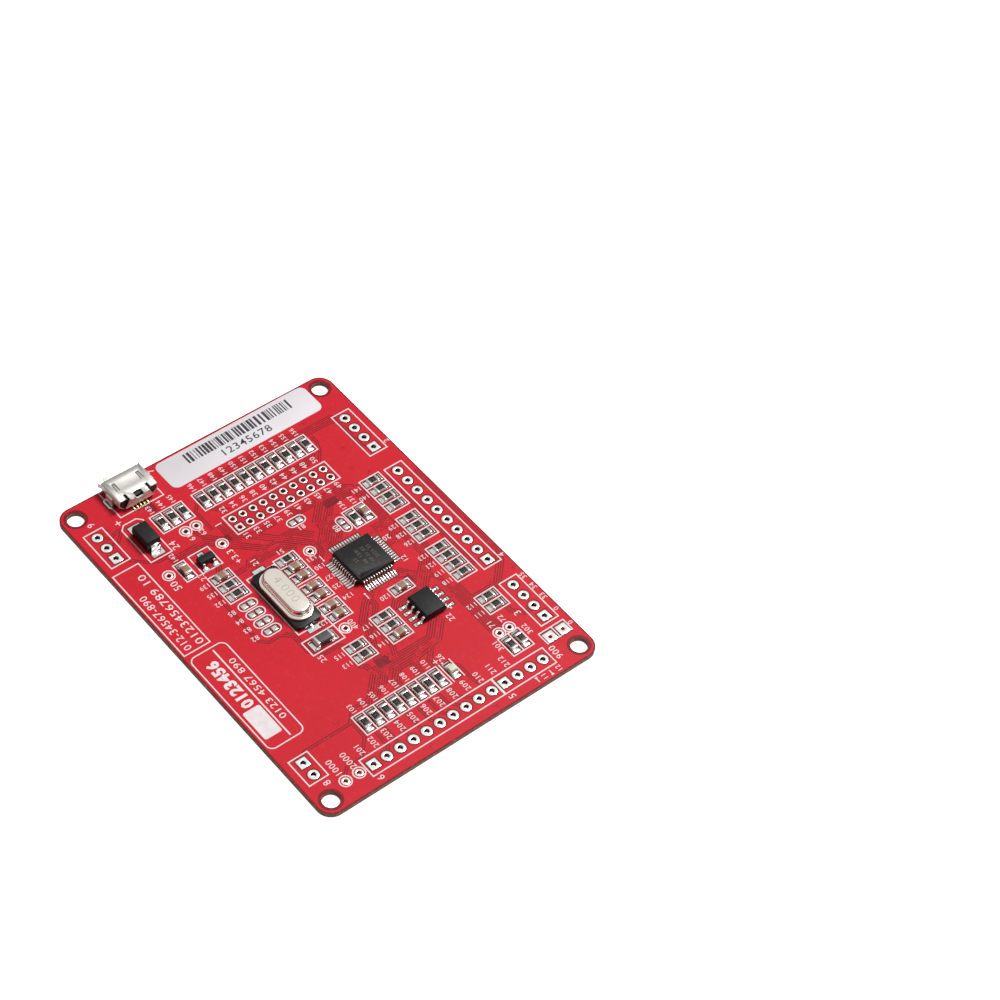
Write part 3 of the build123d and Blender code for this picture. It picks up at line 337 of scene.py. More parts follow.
grain, start, end = group_start(
    "Fine grain",
    [("Scale", number, 3000.0), ("Height", number, 0.2), ("Roughness", number, 0.5),
     ("Spread", number, 0.1)],
    [("Normal", vector), ("Roughness", number)])
place = node(grain, "ShaderNodeTexCoord")
speck = node(grain, "ShaderNodeTexNoise", [(place.outputs["Object"], "Vector"),
                                           (start.outputs["Scale"], "Scale")], in_Detail=3.0)
bump = node(grain, "ShaderNodeBump", [(speck.outputs["Fac"], "Height"),
                                      (start.outputs["Height"], "Strength")], in_Distance=2e-5)
away = node(grain, "ShaderNodeMath", [(speck.outputs["Fac"], 0)], operation="SUBTRACT", in_1=0.5)
shift = node(grain, "ShaderNodeMath", [(away.outputs[0], 0), (start.outputs["Spread"], 1),
                                       (start.outputs["Roughness"], 2)],
             operation="MULTIPLY_ADD")
grain.links.new(bump.outputs["Normal"], end.inputs["Normal"])
grain.links.new(shift.outputs[0], end.inputs["Roughness"])

dust, start, end = group_start(
    "Dust veil",
    [("Colour", colour_socket, (1, 1, 1, 1)), ("Dust", colour_socket, (0.6, 0.55, 0.5, 1)),
     ("Amount", number, 0.1)],
    [("Colour", colour_socket)])
place = node(dust, "ShaderNodeTexCoord")
fluff = node(dust, "ShaderNodeTexNoise", [(place.outputs["Object"], "Vector")],
             in_Scale=1400.0, in_Detail=6.0)
only_high = node(dust, "ShaderNodeMapRange", [(fluff.outputs["Fac"], "Value")],
                 in_From_Min=0.56, in_From_Max=0.75)
veil = node(dust, "ShaderNodeMath", [(only_high.outputs["Result"], 0),
                                     (start.outputs["Amount"], 1)], operation="MULTIPLY")
blend = node(dust, "ShaderNodeMix", [(veil.outputs[0], "Factor"), (start.outputs["Colour"], 6),
                                     (start.outputs["Dust"], 7)], data_type="RGBA")
dust.links.new(blend.outputs[2], end.inputs["Colour"])
print("node groups:", [group.name for group in bpy.data.node_groups])

# %% [markdown]
# ## A finish with its own values
# A colour is written the way a paint chart gives it, from 0 to 255, and turned into the
# linear light that a shader works in. One function places the three groups in front of a
# Principled shader. What is the same all over a surface, such as how metallic it is, is set
# on the shader itself.

# %% Build a finish
def paint(red, green, blue):
    """A chart colour, 0 to 255, as linear light."""
    def linear(value):
        value /= 255
        return value / 12.92 if value <= 0.04045 else ((value + 0.055) / 1.055) ** 2.4
    return (linear(red), linear(green), linear(blue), 1.0)


def finish(name, first, second, scale, rough, spread, grain_scale, height, dusty, more):
    """A Principled material with tone drift, fine grain and dust, and its shader's values."""
    material = bpy.data.materials.new(name + "_finish")
    material.use_nodes = True
    tree = material.node_tree
    shader = tree.nodes["Principled BSDF"]
    tone = node(tree, "ShaderNodeGroup", node_tree=drift, in_First=paint(*first),
                in_Second=paint(*second), in_Scale=scale, in_Amount=more.pop("Drift", 0.6))
    veiled = node(tree, "ShaderNodeGroup", [(tone.outputs["Colour"], "Colour")],
                  node_tree=dust, in_Amount=dusty)
    fine = node(tree, "ShaderNodeGroup", node_tree=grain, in_Scale=grain_scale,
                in_Height=height, in_Roughness=rough, in_Spread=spread)
    tree.links.new(veiled.outputs["Colour"], shader.inputs["Base Color"])
    tree.links.new(fine.outputs["Roughness"], shader.inputs["Roughness"])
    tree.links.new(fine.outputs["Normal"], shader.inputs["Normal"])
    for socket, value in more.items():
        shader.inputs[socket].default_value = value
    return material


def dress(material, *pieces):
    """Give pieces or CAD nodes one material in place of what they had."""
    for piece in pieces:
        piece = nodes[piece] if isinstance(piece, str) else piece
        piece.data.materials.clear()
        piece.data.materials.append(material)


def keep(piece, material, slot, *replaced):
    """Finish a piece: its material, the body it rides on, and what it stands for. Its slot is not
    used.
    """
    dress(finishes[material], piece)
    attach(piece, "root")
    if replaced:
        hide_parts(*replaced)
    return piece


# Each row: the two tones, the scale of the drift between them, the roughness and its spread,
# the scale and height of the grain, the dust, and any values for the drift or the shader.
looks = {
    "red_lacquer_on_copper": ((213, 33, 49), (206, 27, 43), 90, 0.36, 0.12, 2500, 0.12, 0.03,
        {"Specular IOR Level": 0.22}),
    "red_lacquer_on_laminate": ((136, 18, 30), (124, 14, 26), 500, 0.4, 0.12, 2500, 0.15, 0.08,
        {"Specular IOR Level": 0.22}),
    "white_ink": ((244, 236, 236), (228, 214, 214), 900, 0.62, 0.2, 6000, 0.35, 0.08, {}),
    "label_paper": ((232, 226, 230), (226, 219, 224), 160, 0.55, 0.1, 9000, 0.25, 0.03, {}),
    "label_print": ((32, 30, 34), (60, 56, 62), 4000, 0.5, 0.2, 9000, 0.2, 0.03, {}),
    "hot_tin": ((252, 250, 247), (230, 228, 224), 900, 0.13, 0.2, 2200, 0.35, 0.02,
        {"Metallic": 1.0}),
    "pad_tin": ((255, 253, 250), (240, 238, 234), 900, 0.2, 0.2, 2200, 0.35, 0.02,
        {"Metallic": 0.55}),
    "solder": ((246, 245, 242), (206, 204, 200), 1400, 0.12, 0.15, 1500, 0.3, 0.02,
        {"Metallic": 1.0}),
    "tinned_leads": ((226, 224, 220), (196, 193, 188), 1500, 0.2, 0.15, 5000, 0.2, 0.02,
        {"Metallic": 1.0}),
    "bare_copper": ((196, 118, 72), (168, 92, 52), 700, 0.36, 0.2, 4000, 0.3, 0.08,
        {"Metallic": 1.0}),
    # The header-hole wall's dark tones are painted shade: they stand for the shade deep inside a
    # narrow hole, not for the tin's own colour.
    "painted_shade_wall": ((132, 126, 120), (44, 40, 38), 1500, 0.3, 0.2, 4000, 0.5, 0.08,
        {"Drift": 0.8, "Metallic": 0.9}),
    "copper_wall": ((246, 136, 66), (150, 62, 30), 1500, 0.5, 0.2, 4000, 0.5, 0.08,
        {"Drift": 0.8, "Metallic": 0.5}),
    "black_epoxy": ((27, 25, 25), (20, 19, 19), 700, 0.5, 0.2, 7000, 0.6, 0.03,
        {"Specular IOR Level": 0.24}),
    "package_print": ((92, 82, 70), (58, 54, 52), 5000, 0.6, 0.2, 7000, 0.4, 0.08, {}),
    "black_plastic": ((24, 22, 22), (16, 15, 15), 500, 0.42, 0.2, 4000, 0.35, 0.04,
        {"Specular IOR Level": 0.3}),
    "nickel_can": ((254, 244, 234), (248, 237, 226), 260, 0.2, 0.08, 5000, 0.08, 0.02,
        {"Metallic": 1.0}),
    "can_engraving": ((168, 156, 146), (140, 130, 122), 2500, 0.5, 0.2, 6000, 0.3, 0.08,
        {"Metallic": 0.6}),
    "socket_steel": ((216, 212, 207), (203, 199, 193), 420, 0.42, 0.15, 3500, 0.25, 0.03,
        {"Metallic": 1.0}),
    "gold_plate": ((204, 168, 108), (176, 138, 84), 1500, 0.26, 0.2, 5000, 0.3, 0.08,
        {"Metallic": 1.0}),
    "alumina": ((232, 230, 224), (216, 212, 204), 1500, 0.5, 0.2, 6000, 0.4, 0.08, {}),
    "resistive_film": ((58, 52, 50), (44, 40, 38), 1800, 0.55, 0.2, 6000, 0.3, 0.08, {}),
    "black_glaze": ((24, 22, 22), (14, 13, 14), 1200, 0.25, 0.2, 2500, 0.4, 0.03,
        {"Specular IOR Level": 0.3}),
    "capacitor_ceramic": ((158, 118, 96), (138, 100, 80), 1500, 0.5, 0.2, 5000, 0.4, 0.08, {}),
    "ferrite": ((74, 72, 74), (58, 56, 58), 1500, 0.5, 0.25, 5000, 0.6, 0.08, {}),
    "silicon": ((92, 96, 108), (74, 78, 92), 2200, 0.22, 0.1, 8000, 0.1, 0.08,
        {"Metallic": 0.8}),
    "quartz": ((222, 228, 230), (206, 214, 218), 1200, 0.12, 0.1, 5000, 0.1, 0.08, {}),
    "led_resin": ((224, 232, 208), (206, 220, 186), 900, 0.24, 0.12, 3000, 0.2, 0.02,
        {"Subsurface Weight": 0.25, "Subsurface Scale": 0.0004}),
    "glass_epoxy": ((176, 138, 112), (138, 104, 84), 1800, 0.75, 0.2, 4000, 0.9, 0.25,
        {"Drift": 0.8}),
}
finishes = {name: finish(name, *look) for name, look in looks.items()}
print("finishes:", len(finishes))

# %% [markdown]
# ## The laminate and its edge
# Glass-epoxy board is woven glass cloth in resin. Cut through by a router, its edge is a
# brownish stack of fine cloth layers with frayed specks, while hardly any of its face shows.
# The stack is a noise that is stretched along the board and squeezed in height.

# %% Board material with a layered edge
tree = finishes["glass_epoxy"].node_tree
tone, veiled = [next(n for n in tree.nodes if n.type == "GROUP" and n.node_tree == group)
                for group in (drift, dust)]
place = node(tree, "ShaderNodeTexCoord")
layers = node(tree, "ShaderNodeMapping", [(place.outputs["Object"], "Vector")],
              in_Scale=(1.0, 1.0, 9.0))
cloth = node(tree, "ShaderNodeTexNoise", [(layers.outputs["Vector"], "Vector")],
             in_Scale=1100.0, in_Detail=3.0)
share = node(tree, "ShaderNodeMapRange", [(cloth.outputs["Fac"], "Value")],
             in_From_Min=0.4, in_From_Max=0.6)
edge_tone = node(tree, "ShaderNodeMix", [(share.outputs["Result"], "Factor"),
                                         (tone.outputs["Colour"], 7)],
                 data_type="RGBA", in_6=paint(110, 72, 62))
tree.links.new(edge_tone.outputs[2], veiled.inputs["Colour"])
for material, cad_names in (
        ("glass_epoxy", ["laminate_core"]),
        ("red_lacquer_on_laminate", ["solder_mask_top", "solder_mask_bottom"]),
        ("bare_copper", ["copper_top", "copper_bottom", "via_barrels"]),
        ("white_ink", ["silkscreen"]),
        ("hot_tin", ["smd_lands", "jumper_lands", "usb_tab_barrels"])):
    dress(finishes[material], *cad_names)
    print(material, "on", cad_names)

# %% [markdown]
# ## Lacquer over the copper
# Solder mask is a thin translucent lacquer. Where it lies over copper the metal shines
# through and it looks bright red, and it stands a hair higher. Over bare laminate it looks
# dark. So the copper pattern, lifted until it stands just proud of the mask, is the bright
# part: the traces and their gaps are then real relief and not a painted picture.

# %% Raised lacquer on both sides
relief = 0.006
for side in ("top", "bottom"):
    lacquer = merged_copy("copper_" + side, "raised_lacquer_" + side)
    low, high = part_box("copper_" + side)
    if side == "top":
        lift = board_top + relief - high.z / mm
    else:
        lift = board_low - relief - low.z / mm
    lacquer.data.transform(Matrix.Translation((0, 0, lift * mm)))
    keep(lacquer, "red_lacquer_on_copper", "red_solder_mask")
    print(lacquer.name, "lifted by", round(lift, 4), "mm,", len(lacquer.data.polygons), "faces")

# %% [markdown]
# ## Bare wells round the chips
# Copper is kept away from a chip's lands, so that solder can't bridge to it. The lacquer
# there lies on laminate, and each chip sits in a dark red well. The well's dark red is partly
# this bare laminate and partly painted shade round and under the chip. A thin sheet of the
# darker lacquer is laid over the relief round each pair of lands, which stand proud of it.

# %% Dark wells
wells = []
chip_well, bead_well = (3.5, 1.62), (4.9, 2.3)
for node_name, (length, width) in (("resistor_substrates", chip_well),
                                   ("capacitor_bodies", chip_well),
                                   ("led_base", chip_well), ("ferrite_bead_body", bead_well)):
    # Each well is a sheet of the dark lacquer: partly bare laminate, partly painted shade round
    # the chip.
    model = block("well", (length, width, 0.5 * relief), (0, 0, board_top + 0.8 * relief))
    wells.append(spread("wells", model, lying(node_name, 0)))
keep(join("lacquer_wells", wells), "red_lacquer_on_laminate", "red_solder_mask")

# %% [markdown]
# ## Plated holes
# A header hole is a copper tube with a ring of solder on each face. Hot tin pulls into a low
# dome on the ring and rolls over into the hole, and that dome is what glints. The dome's
# outline is drawn once as a chain of points, spun round the hole with the Spin tool, and
# copied to each hole that the CAD has.

# %% Spin one hole lining and copy it
def lathe(name, outline, steps):
    """A closed outline of (radius, height) points in millimetres, spun into a ring."""
    mesh = bpy.data.meshes.new(name)
    count = len(outline)
    chain = [(i, (i + 1) % count) for i in range(count)]
    chain = [(i, j) for i, j in chain if outline[i][0] > 0 or outline[j][0] > 0]
    mesh.from_pydata([(r * mm, 0, z * mm) for r, z in outline], chain, [])
    piece = bpy.data.objects.new(name, mesh)
    bpy.context.collection.objects.link(piece)
    take(piece)
    bpy.ops.object.mode_set(mode="EDIT")
    bpy.ops.mesh.select_all(action="SELECT")
    bpy.ops.mesh.spin(steps=steps, angle=math.tau, center=(0, 0, 0), axis=(0, 0, 1))
    bpy.ops.mesh.select_all(action="SELECT")
    bpy.ops.mesh.remove_doubles(threshold=1e-7)
    bpy.ops.mesh.normals_make_consistent(inside=False)
    done()
    return smooth(piece, 50)


tube_wall, ring_depth, lip, sides = 0.05, 0.03, 0.008, 28


def hole_lining(name, hole, pad, dome):
    """A plated hole with a domed solder ring on both faces of the board."""
    inner, foot = hole + tube_wall, board_top - ring_depth
    upper = [(inner, foot), (pad, foot), (pad, board_top + lip)]
    for i in range(1, 6):
        t = i / 6
        height = board_top + lip + dome * math.sin(0.8 * math.pi * t)
        upper.append((pad + (inner - pad) * t, height))
    upper += [(hole + 0.6 * tube_wall, board_top + 0.6 * dome), (hole, board_top - 0.05)]
    lower = [(r, board_top - z) for r, z in reversed(upper)]
    return lathe(name, upper + lower, sides)


def square_lining(name, hole, side, dome):
    """A plated hole whose solder pad is square on the component side, as pin 1 has."""
    pad = block(name, (side, side, ring_depth + dome), (0, 0, board_top - ring_depth))
    drill = disc("drill", hole + 0.6 * tube_wall, 1, (0, 0, board_top - 0.5), sides)
    apply(pad, "BOOLEAN", operation="DIFFERENCE", object=drill, solver="EXACT")
    bpy.data.objects.remove(drill)
    rounded(pad, 0.8 * dome, 3)
    return join(name, [pad, hole_lining("tube", hole, side / 2, 0.6 * dome)])


def line_holes(node_name, name, hole, pad, dome, wall):
    """Linings for every barrel of a CAD node, which they replace, with their own wall finish."""
    places = {False: [], True: []}
    for i, (c, _) in enumerate(islands(node_name)):
        places[square[(node_name, i)]].append((c.x, c.y, 0, 0))
    made = []
    if places[False]:
        made.append(spread(name, hole_lining(name, hole, pad, dome), places[False]))
    if places[True]:
        made.append(spread(name, square_lining(name, hole, 2 * pad, dome), places[True]))
    linings = keep(join(name, made), "pad_tin", "tinned_copper", node_name)
    linings.data.materials.append(finishes[wall])
    for face in linings.data.polygons:
        inside = abs(face.center.z / mm - board_top / 2) < 0.3 * board_top
        face.material_index = int(inside and abs(face.normal.z) < 0.3)


# The header holes get the wall of painted shade, dark tones standing for the shade inside each
# hole.
line_holes("header_barrels", "header_hole_linings", 0.41, 0.875, 0.04, "painted_shade_wall")
line_holes("display_header_barrels", "display_hole_linings", 0.39, 0.675, 0.03, "copper_wall")
line_holes("test_point_barrels", "test_point_linings", 0.36, 0.675, 0.03, "copper_wall")
line_holes("ground_pad_barrels", "ground_pad_linings", 0.3, 0.95, 0.035, "copper_wall")

# %% [markdown]
# ## Covered vias
# A via is a tiny plated hole that joins the two copper sides. The lacquer runs over it, so
# all that shows is a slight red ring with a dark dimple. A ring and a sunk plug of lacquer
# are spun once and copied over each via, on both faces.

# %% Rings of lacquer over the vias
dimple, shoulder, outer, sunk = 0.15, 0.21, 0.475, -0.01
ring = [(dimple, sunk), (outer, sunk), (outer, relief), (shoulder, relief), (dimple, 0.0)]
plug_foot, plug_radius = -0.03, 0.16
plug = [(0.0, plug_foot), (plug_radius, plug_foot), (plug_radius, -0.004), (0.08, -0.014),
        (0.0, -0.018)]
via_places = [(c.x, c.y, 0, 0) for c, _ in islands("via_barrels")]
for name, outline, material in (("via_rings", ring, "red_lacquer_on_copper"),
                                ("via_plugs", plug, "red_lacquer_on_laminate")):
    over = lathe("over", [(r, board_top + z) for r, z in outline], 20)
    under = lathe("under", [(r, board_low - z) for r, z in outline], 20)
    cover = spread(name, join(name, [over, under]), via_places)
    keep(cover, material, "red_solder_mask")

# %% [markdown]
# ## Lacquer up to the test points
# A test point's copper is wider than the tin that shows, and the lacquer covers its outer
# part, so the red runs right up to the tin.

# %% Lacquer collars
tin_radius, copper_radius = 0.69, 0.93
foot, crown = board_top - 0.01, board_top + 0.9 * relief
collar = lathe("collar", [(tin_radius, foot), (copper_radius, foot),
                          (copper_radius, crown), (tin_radius, crown)], sides)
collars = spread("test_point_collars", collar,
                 [(c.x, c.y, 0, 0) for c, _ in islands("test_point_barrels")])
keep(collars, "red_lacquer_on_copper", "red_solder_mask")

# %% [markdown]
# ## Chip resistors
# A chip resistor is a sliver of white alumina. A dark glaze covers the resistive film on top,
# and each end is wrapped in tinned metal. Every one is the same, so one core, one glaze and
# one pair of end caps are made from blocks with fired, slightly rounded edges, and copied to
# the places of the CAD cores.

# %% Resistor cores, glaze and end caps
def cap_pair(name, length, width, height, cap, soft):
    """The two plated ends of a chip, a little proud of its core."""
    ends = []
    for side in (-1, 1):
        end = block(name, (cap, width, height), (side * (length - cap) / 2, 0, 0))
        ends.append(rounded(end, soft, 3))
    return join(name, ends)


def height_of(node):
    """How far the top of a CAD node stands above the lands, in millimetres."""
    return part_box(node)[1].z / mm - pad_top


chip_length, chip_width, cap_length = 2.0, 1.25, 0.4
core_length, core_width, cap_wall = 1.9, 1.21, 0.035
glaze_length, glaze_width, glaze_wall = 1.22, 1.09, 0.04
resistor_height = height_of("resistor_end_caps")
resistor_places = lying("resistor_substrates", pad_top)
core = block("resistor_cores", (core_length, core_width, resistor_height - cap_wall))
keep(spread("resistor_cores", rounded(core, 0.03), resistor_places), "alumina", "alumina",
     "resistor_substrates")
glaze = rounded(block("resistor_glazes", (glaze_length, glaze_width, glaze_wall),
                      (0, 0, resistor_height - glaze_wall)), 0.02, 3)
keep(spread("resistor_glazes", glaze, resistor_places), "black_glaze", "black_glaze",
     "resistor_glaze")
caps = cap_pair("resistor_ends", chip_length, chip_width, resistor_height, cap_length, 0.06)
keep(spread("resistor_ends", caps, resistor_places), "tinned_leads", "tinned_lead",
     "resistor_end_caps")

# %% [markdown]
# ## Chip capacitors and the bead
# A ceramic capacitor is a solid brown block of many fired layers, thicker than a resistor and
# with softer corners from tumbling. The ferrite bead is the same idea in dark grey ferrite,
# one size larger.

# %% Capacitor bodies, bead body and their end caps
capacitor_height = height_of("capacitor_end_caps")
capacitor_places = lying("capacitor_bodies", pad_top)
skin = 0.015
core = rounded(block("capacitor_blocks", (core_length, 1.2, capacitor_height - 2 * skin),
                     (0, 0, skin)), 0.07, 3)
keep(spread("capacitor_blocks", core, capacitor_places), "capacitor_ceramic",
     "capacitor_ceramic", "capacitor_bodies")
caps = cap_pair("capacitor_ends", chip_length, chip_width, capacitor_height, cap_length + 0.1,
                0.1)
keep(spread("capacitor_ends", caps, capacitor_places), "tinned_leads", "tinned_lead",
     "capacitor_end_caps")
bead_centre, _ = islands("ferrite_bead_body")[0]
bead_place = [(bead_centre.x, bead_centre.y, pad_top, 90)]
bead_length, bead_width, bead_height = 3.2, 1.6, height_of("ferrite_bead_end_caps")
core = rounded(block("bead_block", (bead_length - 0.1, bead_width - 0.05, bead_height - 2 * skin),
                     (0, 0, skin)), 0.1, 3)
keep(spread("bead_block", core, bead_place), "ferrite", "ferrite", "ferrite_bead_body")
caps = cap_pair("bead_ends", bead_length, bead_width, bead_height, 0.55, 0.13)
keep(spread("bead_ends", caps, bead_place), "tinned_leads", "tinned_lead",
     "ferrite_bead_end_caps")

# %% [markdown]
# ## Solder at the chip ends
# Molten solder wets the end cap and the land and freezes between them in a hollow curve. A
# bevel with a low profile number cuts a hollow curve: a cube loses its top outer edge that
# way, and its side edges get a small one, and it is then stretched to the size of the land.

# %% One hollow fillet, copied to both ends of each chip
def hollow_fillet(name, run, width, height):
    """Solder that climbs from x = run down to the land up to the chip's end at x = 0."""
    piece = block(name, (1, 1, 1), (0.5, 0, 0))
    bevel(piece, lambda e: middle(e).x > 0.9 * mm and middle(e).z > 0.9 * mm, 0.94, 8, 0.16)
    bevel(piece, lambda e: middle(e).z > 0.02 * mm and abs(middle(e).y) > 0.49 * mm
          and abs((e.verts[0].co - e.verts[1].co).normalized().x) > 0.2, 0.16, 2)
    piece.scale = (run, width, height)
    return smooth(settle(piece), 60)


def fillet_places(chip_places, reach, z):
    """Where the fillets of each chip start: at both its ends, facing outward."""
    places = []
    for x, y, _, turn in chip_places:
        for half_turn in (0, 180):
            way = math.radians(turn + half_turn)
            places.append((x + reach * math.cos(way), y + reach * math.sin(way), z,
                           turn + half_turn))
    return places


led_centre, led_size = islands("led_base")[0]
led_place = [(led_centre.x, led_centre.y, pad_top, 0)]
overlap = 0.02
fillets = []
for places, length, run, width, height in (
        (resistor_places + led_place, chip_length, 0.56, 1.18, 0.34),
        (capacitor_places, chip_length, 0.56, 1.18, 0.5),
        (bead_place, bead_length, 0.66, 1.56, 0.6)):
    ends = fillet_places(places, length / 2 - overlap, pad_top)
    fillets.append(spread("fillet", hollow_fillet("fillet", run, width, height), ends))
keep(join("chip_solder", fillets), "solder", "solder", "solder_fillets")

# %% [markdown]
# ## Solder on the jumper lands
# The lands of the open jumpers are bare, and each carries a low pillow of tin.

# %% Pillows of tin
pillows = []
pillow_wall, seated = 0.09, 0.01
for c, size in islands("jumper_lands"):
    pillow = block("pillow", (size.x, size.y, pillow_wall), (c.x, c.y, pad_top - seated))
    draw_in(pillow, 0.8, 0.8)
    pillows.append(rounded(pillow, 0.07, 3, 10))
keep(join("jumper_tin", pillows), "solder", "tinned_copper")

# %% [markdown]
# ## The indicator lamp
# The LED is a small white carrier with a milky resin block moulded on it. The block is
# narrower at the top, which a mould needs so that it lets go.

# %% Carrier, lens and terminals of the lamp
def softened(cad_name, name, material, slot, soft, segments=2, angle=30):
    """A merged copy that takes its CAD node's place, with every sharp edge softened."""
    piece = rounded(merged_copy(cad_name, name), soft, segments, angle)
    return keep(piece, material, slot, cad_name)


carrier = rounded(block("lamp_carrier", led_size, (led_centre.x, led_centre.y, pad_top)), 0.03)
keep(carrier, "alumina", "led_resin", "led_base")
lens_centre, lens_size = box_of("led_lens")
lens = block("lamp_lens", lens_size,
             (led_centre.x, led_centre.y, lens_centre.z - lens_size.z / 2))
draw_in(lens, 0.86, 0.9)
keep(rounded(lens, 0.07, 3), "led_resin", "led_resin", "led_lens")
softened("led_terminals", "lamp_terminals", "tinned_leads", "tinned_lead", 0.02)

# %% [markdown]
# ## Moulded packages
# Chips are moulded in black epoxy between two steel dies that meet at the leads. So a body
# has a parting line at mid height, sides that lean in above and below it, a matt skin, and a
# round mark left beside pin 1. A block is cut at the parting line with Bisect, its top and
# bottom faces are drawn in, and the mark is pressed in with a Boolean.

# %% Mould the black bodies
def moulded(name, cad_name, parting, lean, soft, mark=None):
    """A moulded body in place of a CAD one. mark is (x, y, radius, depth) from its centre."""
    low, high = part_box(cad_name)
    centre, size = box_of(cad_name)
    body = block(name, size, (centre.x, centre.y, low.z / mm))
    choose(body, "FACE", lambda f: True)
    bpy.ops.mesh.bisect(plane_co=(0, 0, low.z + parting * mm), plane_no=(0, 0, 1))
    done()
    for way in (1, -1):
        draw_in(body, 1 - 2 * lean / size.x, 1 - 2 * lean / size.y, way)
    rounded(body, soft, 3, angle=12)
    if mark:
        x, y, radius, depth = mark
        bpy.ops.object.select_all(action="DESELECT")
        ball = radius * radius / (2 * depth) + depth / 2
        bpy.ops.mesh.primitive_uv_sphere_add(
            segments=48, ring_count=32, radius=ball * mm,
            location=Vector((centre.x + x, centre.y + y, high.z / mm - depth + ball)) * mm)
        press = settle(bpy.context.object)
        apply(body, "BOOLEAN", operation="DIFFERENCE", object=press, solver="EXACT")
        bpy.data.objects.remove(press)
        smooth(body, 30)
    print(name, [round(v, 2) for v in size], len(body.data.polygons), "faces")
    return keep(body, "black_epoxy", "black_epoxy", cad_name)


moulded("controller_case", "microcontroller_body", 0.62, 0.1, 0.05, (-2.7, 2.7, 0.35, 0.08))
moulded("eight_pin_case", "eight_lead_ic_body", 0.6, 0.1, 0.05)
moulded("regulator_case", "regulator_body", 0.5, 0.08, 0.05)
moulded("diode_case", "power_diode_body", 0.95, 0.1, 0.06)

# %% [markdown]
# ## Leads
# The leads are stamped and bent from tinned strip. The CAD has their exact bends, so a copy
# is merged and its long edges are softened, since stamping leaves them slightly rolled.

# %% Soften the bent leads
for cad_name, name, soft in (("microcontroller_leads", "controller_pins", 0.02),
                             ("eight_lead_ic_leads", "eight_pin_pins", 0.03),
                             ("regulator_leads", "regulator_pins", 0.03),
                             ("power_diode_leads", "diode_tabs", 0.04)):
    pins = softened(cad_name, name, "tinned_leads", "tinned_lead", soft, 2, 25)
    print(name, len(pins.data.polygons), "faces")

# %% [markdown]
# ## Solder at the leads
# Each foot sits in a small hollow bank of solder that shows most at its toe. The fillet made
# for the chips serves again in the width of each lead, and larger feet also have a round drop
# over the toe. A lead's foot is at the outer end of its island, so the way it faces follows
# from where its body is.

# %% Toe fillets in front of each lead
def toe_places(cad_name, body_name, inset):
    """The outer end of each lead, and the way it points, away from its body."""
    body, body_size = box_of(body_name)
    places = []
    for centre, size in islands(cad_name):
        along_x = abs(centre.x - body.x) > body_size.x / 2 - 0.1
        if along_x and abs(centre.y - body.y) < body_size.y / 2:
            side = 1 if centre.x > body.x else -1
            places.append((centre.x + side * (size.x / 2 - inset), centre.y, pad_top,
                           0 if side > 0 else 180))
        else:
            side = 1 if centre.y > body.y else -1
            places.append((centre.x, centre.y + side * (size.y / 2 - inset), pad_top, 90 * side))
    return places


def drop(name, length, width, height):
    """A flattened drop of solder, cut off flat at the land."""
    bpy.ops.object.select_all(action="DESELECT")
    bpy.ops.mesh.primitive_uv_sphere_add(segments=20, ring_count=12, radius=0.5)
    piece = bpy.context.object
    piece.name = name
    piece.scale = (length * mm, width * mm, 2 * height * mm)
    settle(piece)
    choose(piece, "FACE", lambda f: f.calc_center_median().z < 0)
    bpy.ops.mesh.delete(type="FACE")
    bpy.ops.mesh.select_all(action="SELECT")
    bpy.ops.mesh.fill_holes(sides=0)
    done()
    return smooth(piece, 60)


toes = []
for cad_name, body_name, run, width, height in (
        ("microcontroller_leads", "microcontroller_body", 0.26, 0.2, 0.08),
        ("regulator_leads", "regulator_body", 0.4, 0.62, 0.12),
        ("power_diode_leads", "power_diode_body", 0.55, 1.2, 0.16)):
    places = toe_places(cad_name, body_name, 0.03)
    toes.append(spread("toe", hollow_fillet("toe", run, width, height), places))
for cad_name, body_name, length, width, height, inset in (
        ("eight_lead_ic_leads", "eight_lead_ic_body", 0.95, 0.66, 0.24, -0.15),
        ("power_diode_leads", "power_diode_body", 0.6, 0.85, 0.34, 0.12)):
    places = toe_places(cad_name, body_name, inset)
    toes.append(spread("drop", drop("drop", length, width, height), places))
keep(join("lead_solder", toes), "solder", "solder")

# %% [markdown]
# ## Parts that stay as the CAD has them
# Inside the packages are dies, a paddle, a quartz blank and resistive films. They don't show,
# but the model has them, so they get the finish of the real thing.

# %% Dress the hidden parts
dress(finishes["silicon"], "microcontroller_die", "eight_lead_ic_die", "regulator_die",
      "power_diode_die", "led_die")
dress(finishes["bare_copper"], "microcontroller_die_paddle")
dress(finishes["resistive_film"], "resistor_films")
dress(finishes["quartz"], "crystal_quartz_blank")
print("hidden parts dressed")

# %% [markdown]
# ## The quartz crystal
# The crystal sits in a low can of drawn, nickel-plated steel. The can has the outline of a
# racetrack, a rolled top edge and a flared foot that is welded to a base plate. A cylinder is
# parted down the middle and its halves moved apart, which gives the racetrack.

# %% Can, base plate, seat and leads
def racetrack(name, length, width, height, place):
    """A cylinder whose two halves are moved apart along X, until it has this length."""
    piece = disc(name, width / 2, height, place, 48)
    for side in (1, -1):
        choose(piece, "VERT", lambda v: (v.co.x / mm - place[0]) * side > 0)
        bpy.ops.transform.translate(value=(side * (length - width) / 2 * mm, 0, 0))
        done()
    return piece


low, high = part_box("crystal_can")
can_centre, can_size = box_of("crystal_can")
can_length, can_width, can_height = can_size
foot_z, flange, flange_wall = low.z / mm, 0.5, 0.2
top_roll, foot_curve, flange_roll = 0.4, 0.2, 0.07


def from_spine(edge):
    """How far an edge is from the can's middle line, in millimetres."""
    way = middle(edge) / mm - can_centre
    return math.hypot(max(abs(way.x) - (can_length - can_width) / 2, 0), way.y)


def at_foot(edge):
    """Whether an edge lies level with the top of the flange."""
    return all(abs(v.co.z / mm - foot_z - flange_wall) < 1e-3 for v in edge.verts)


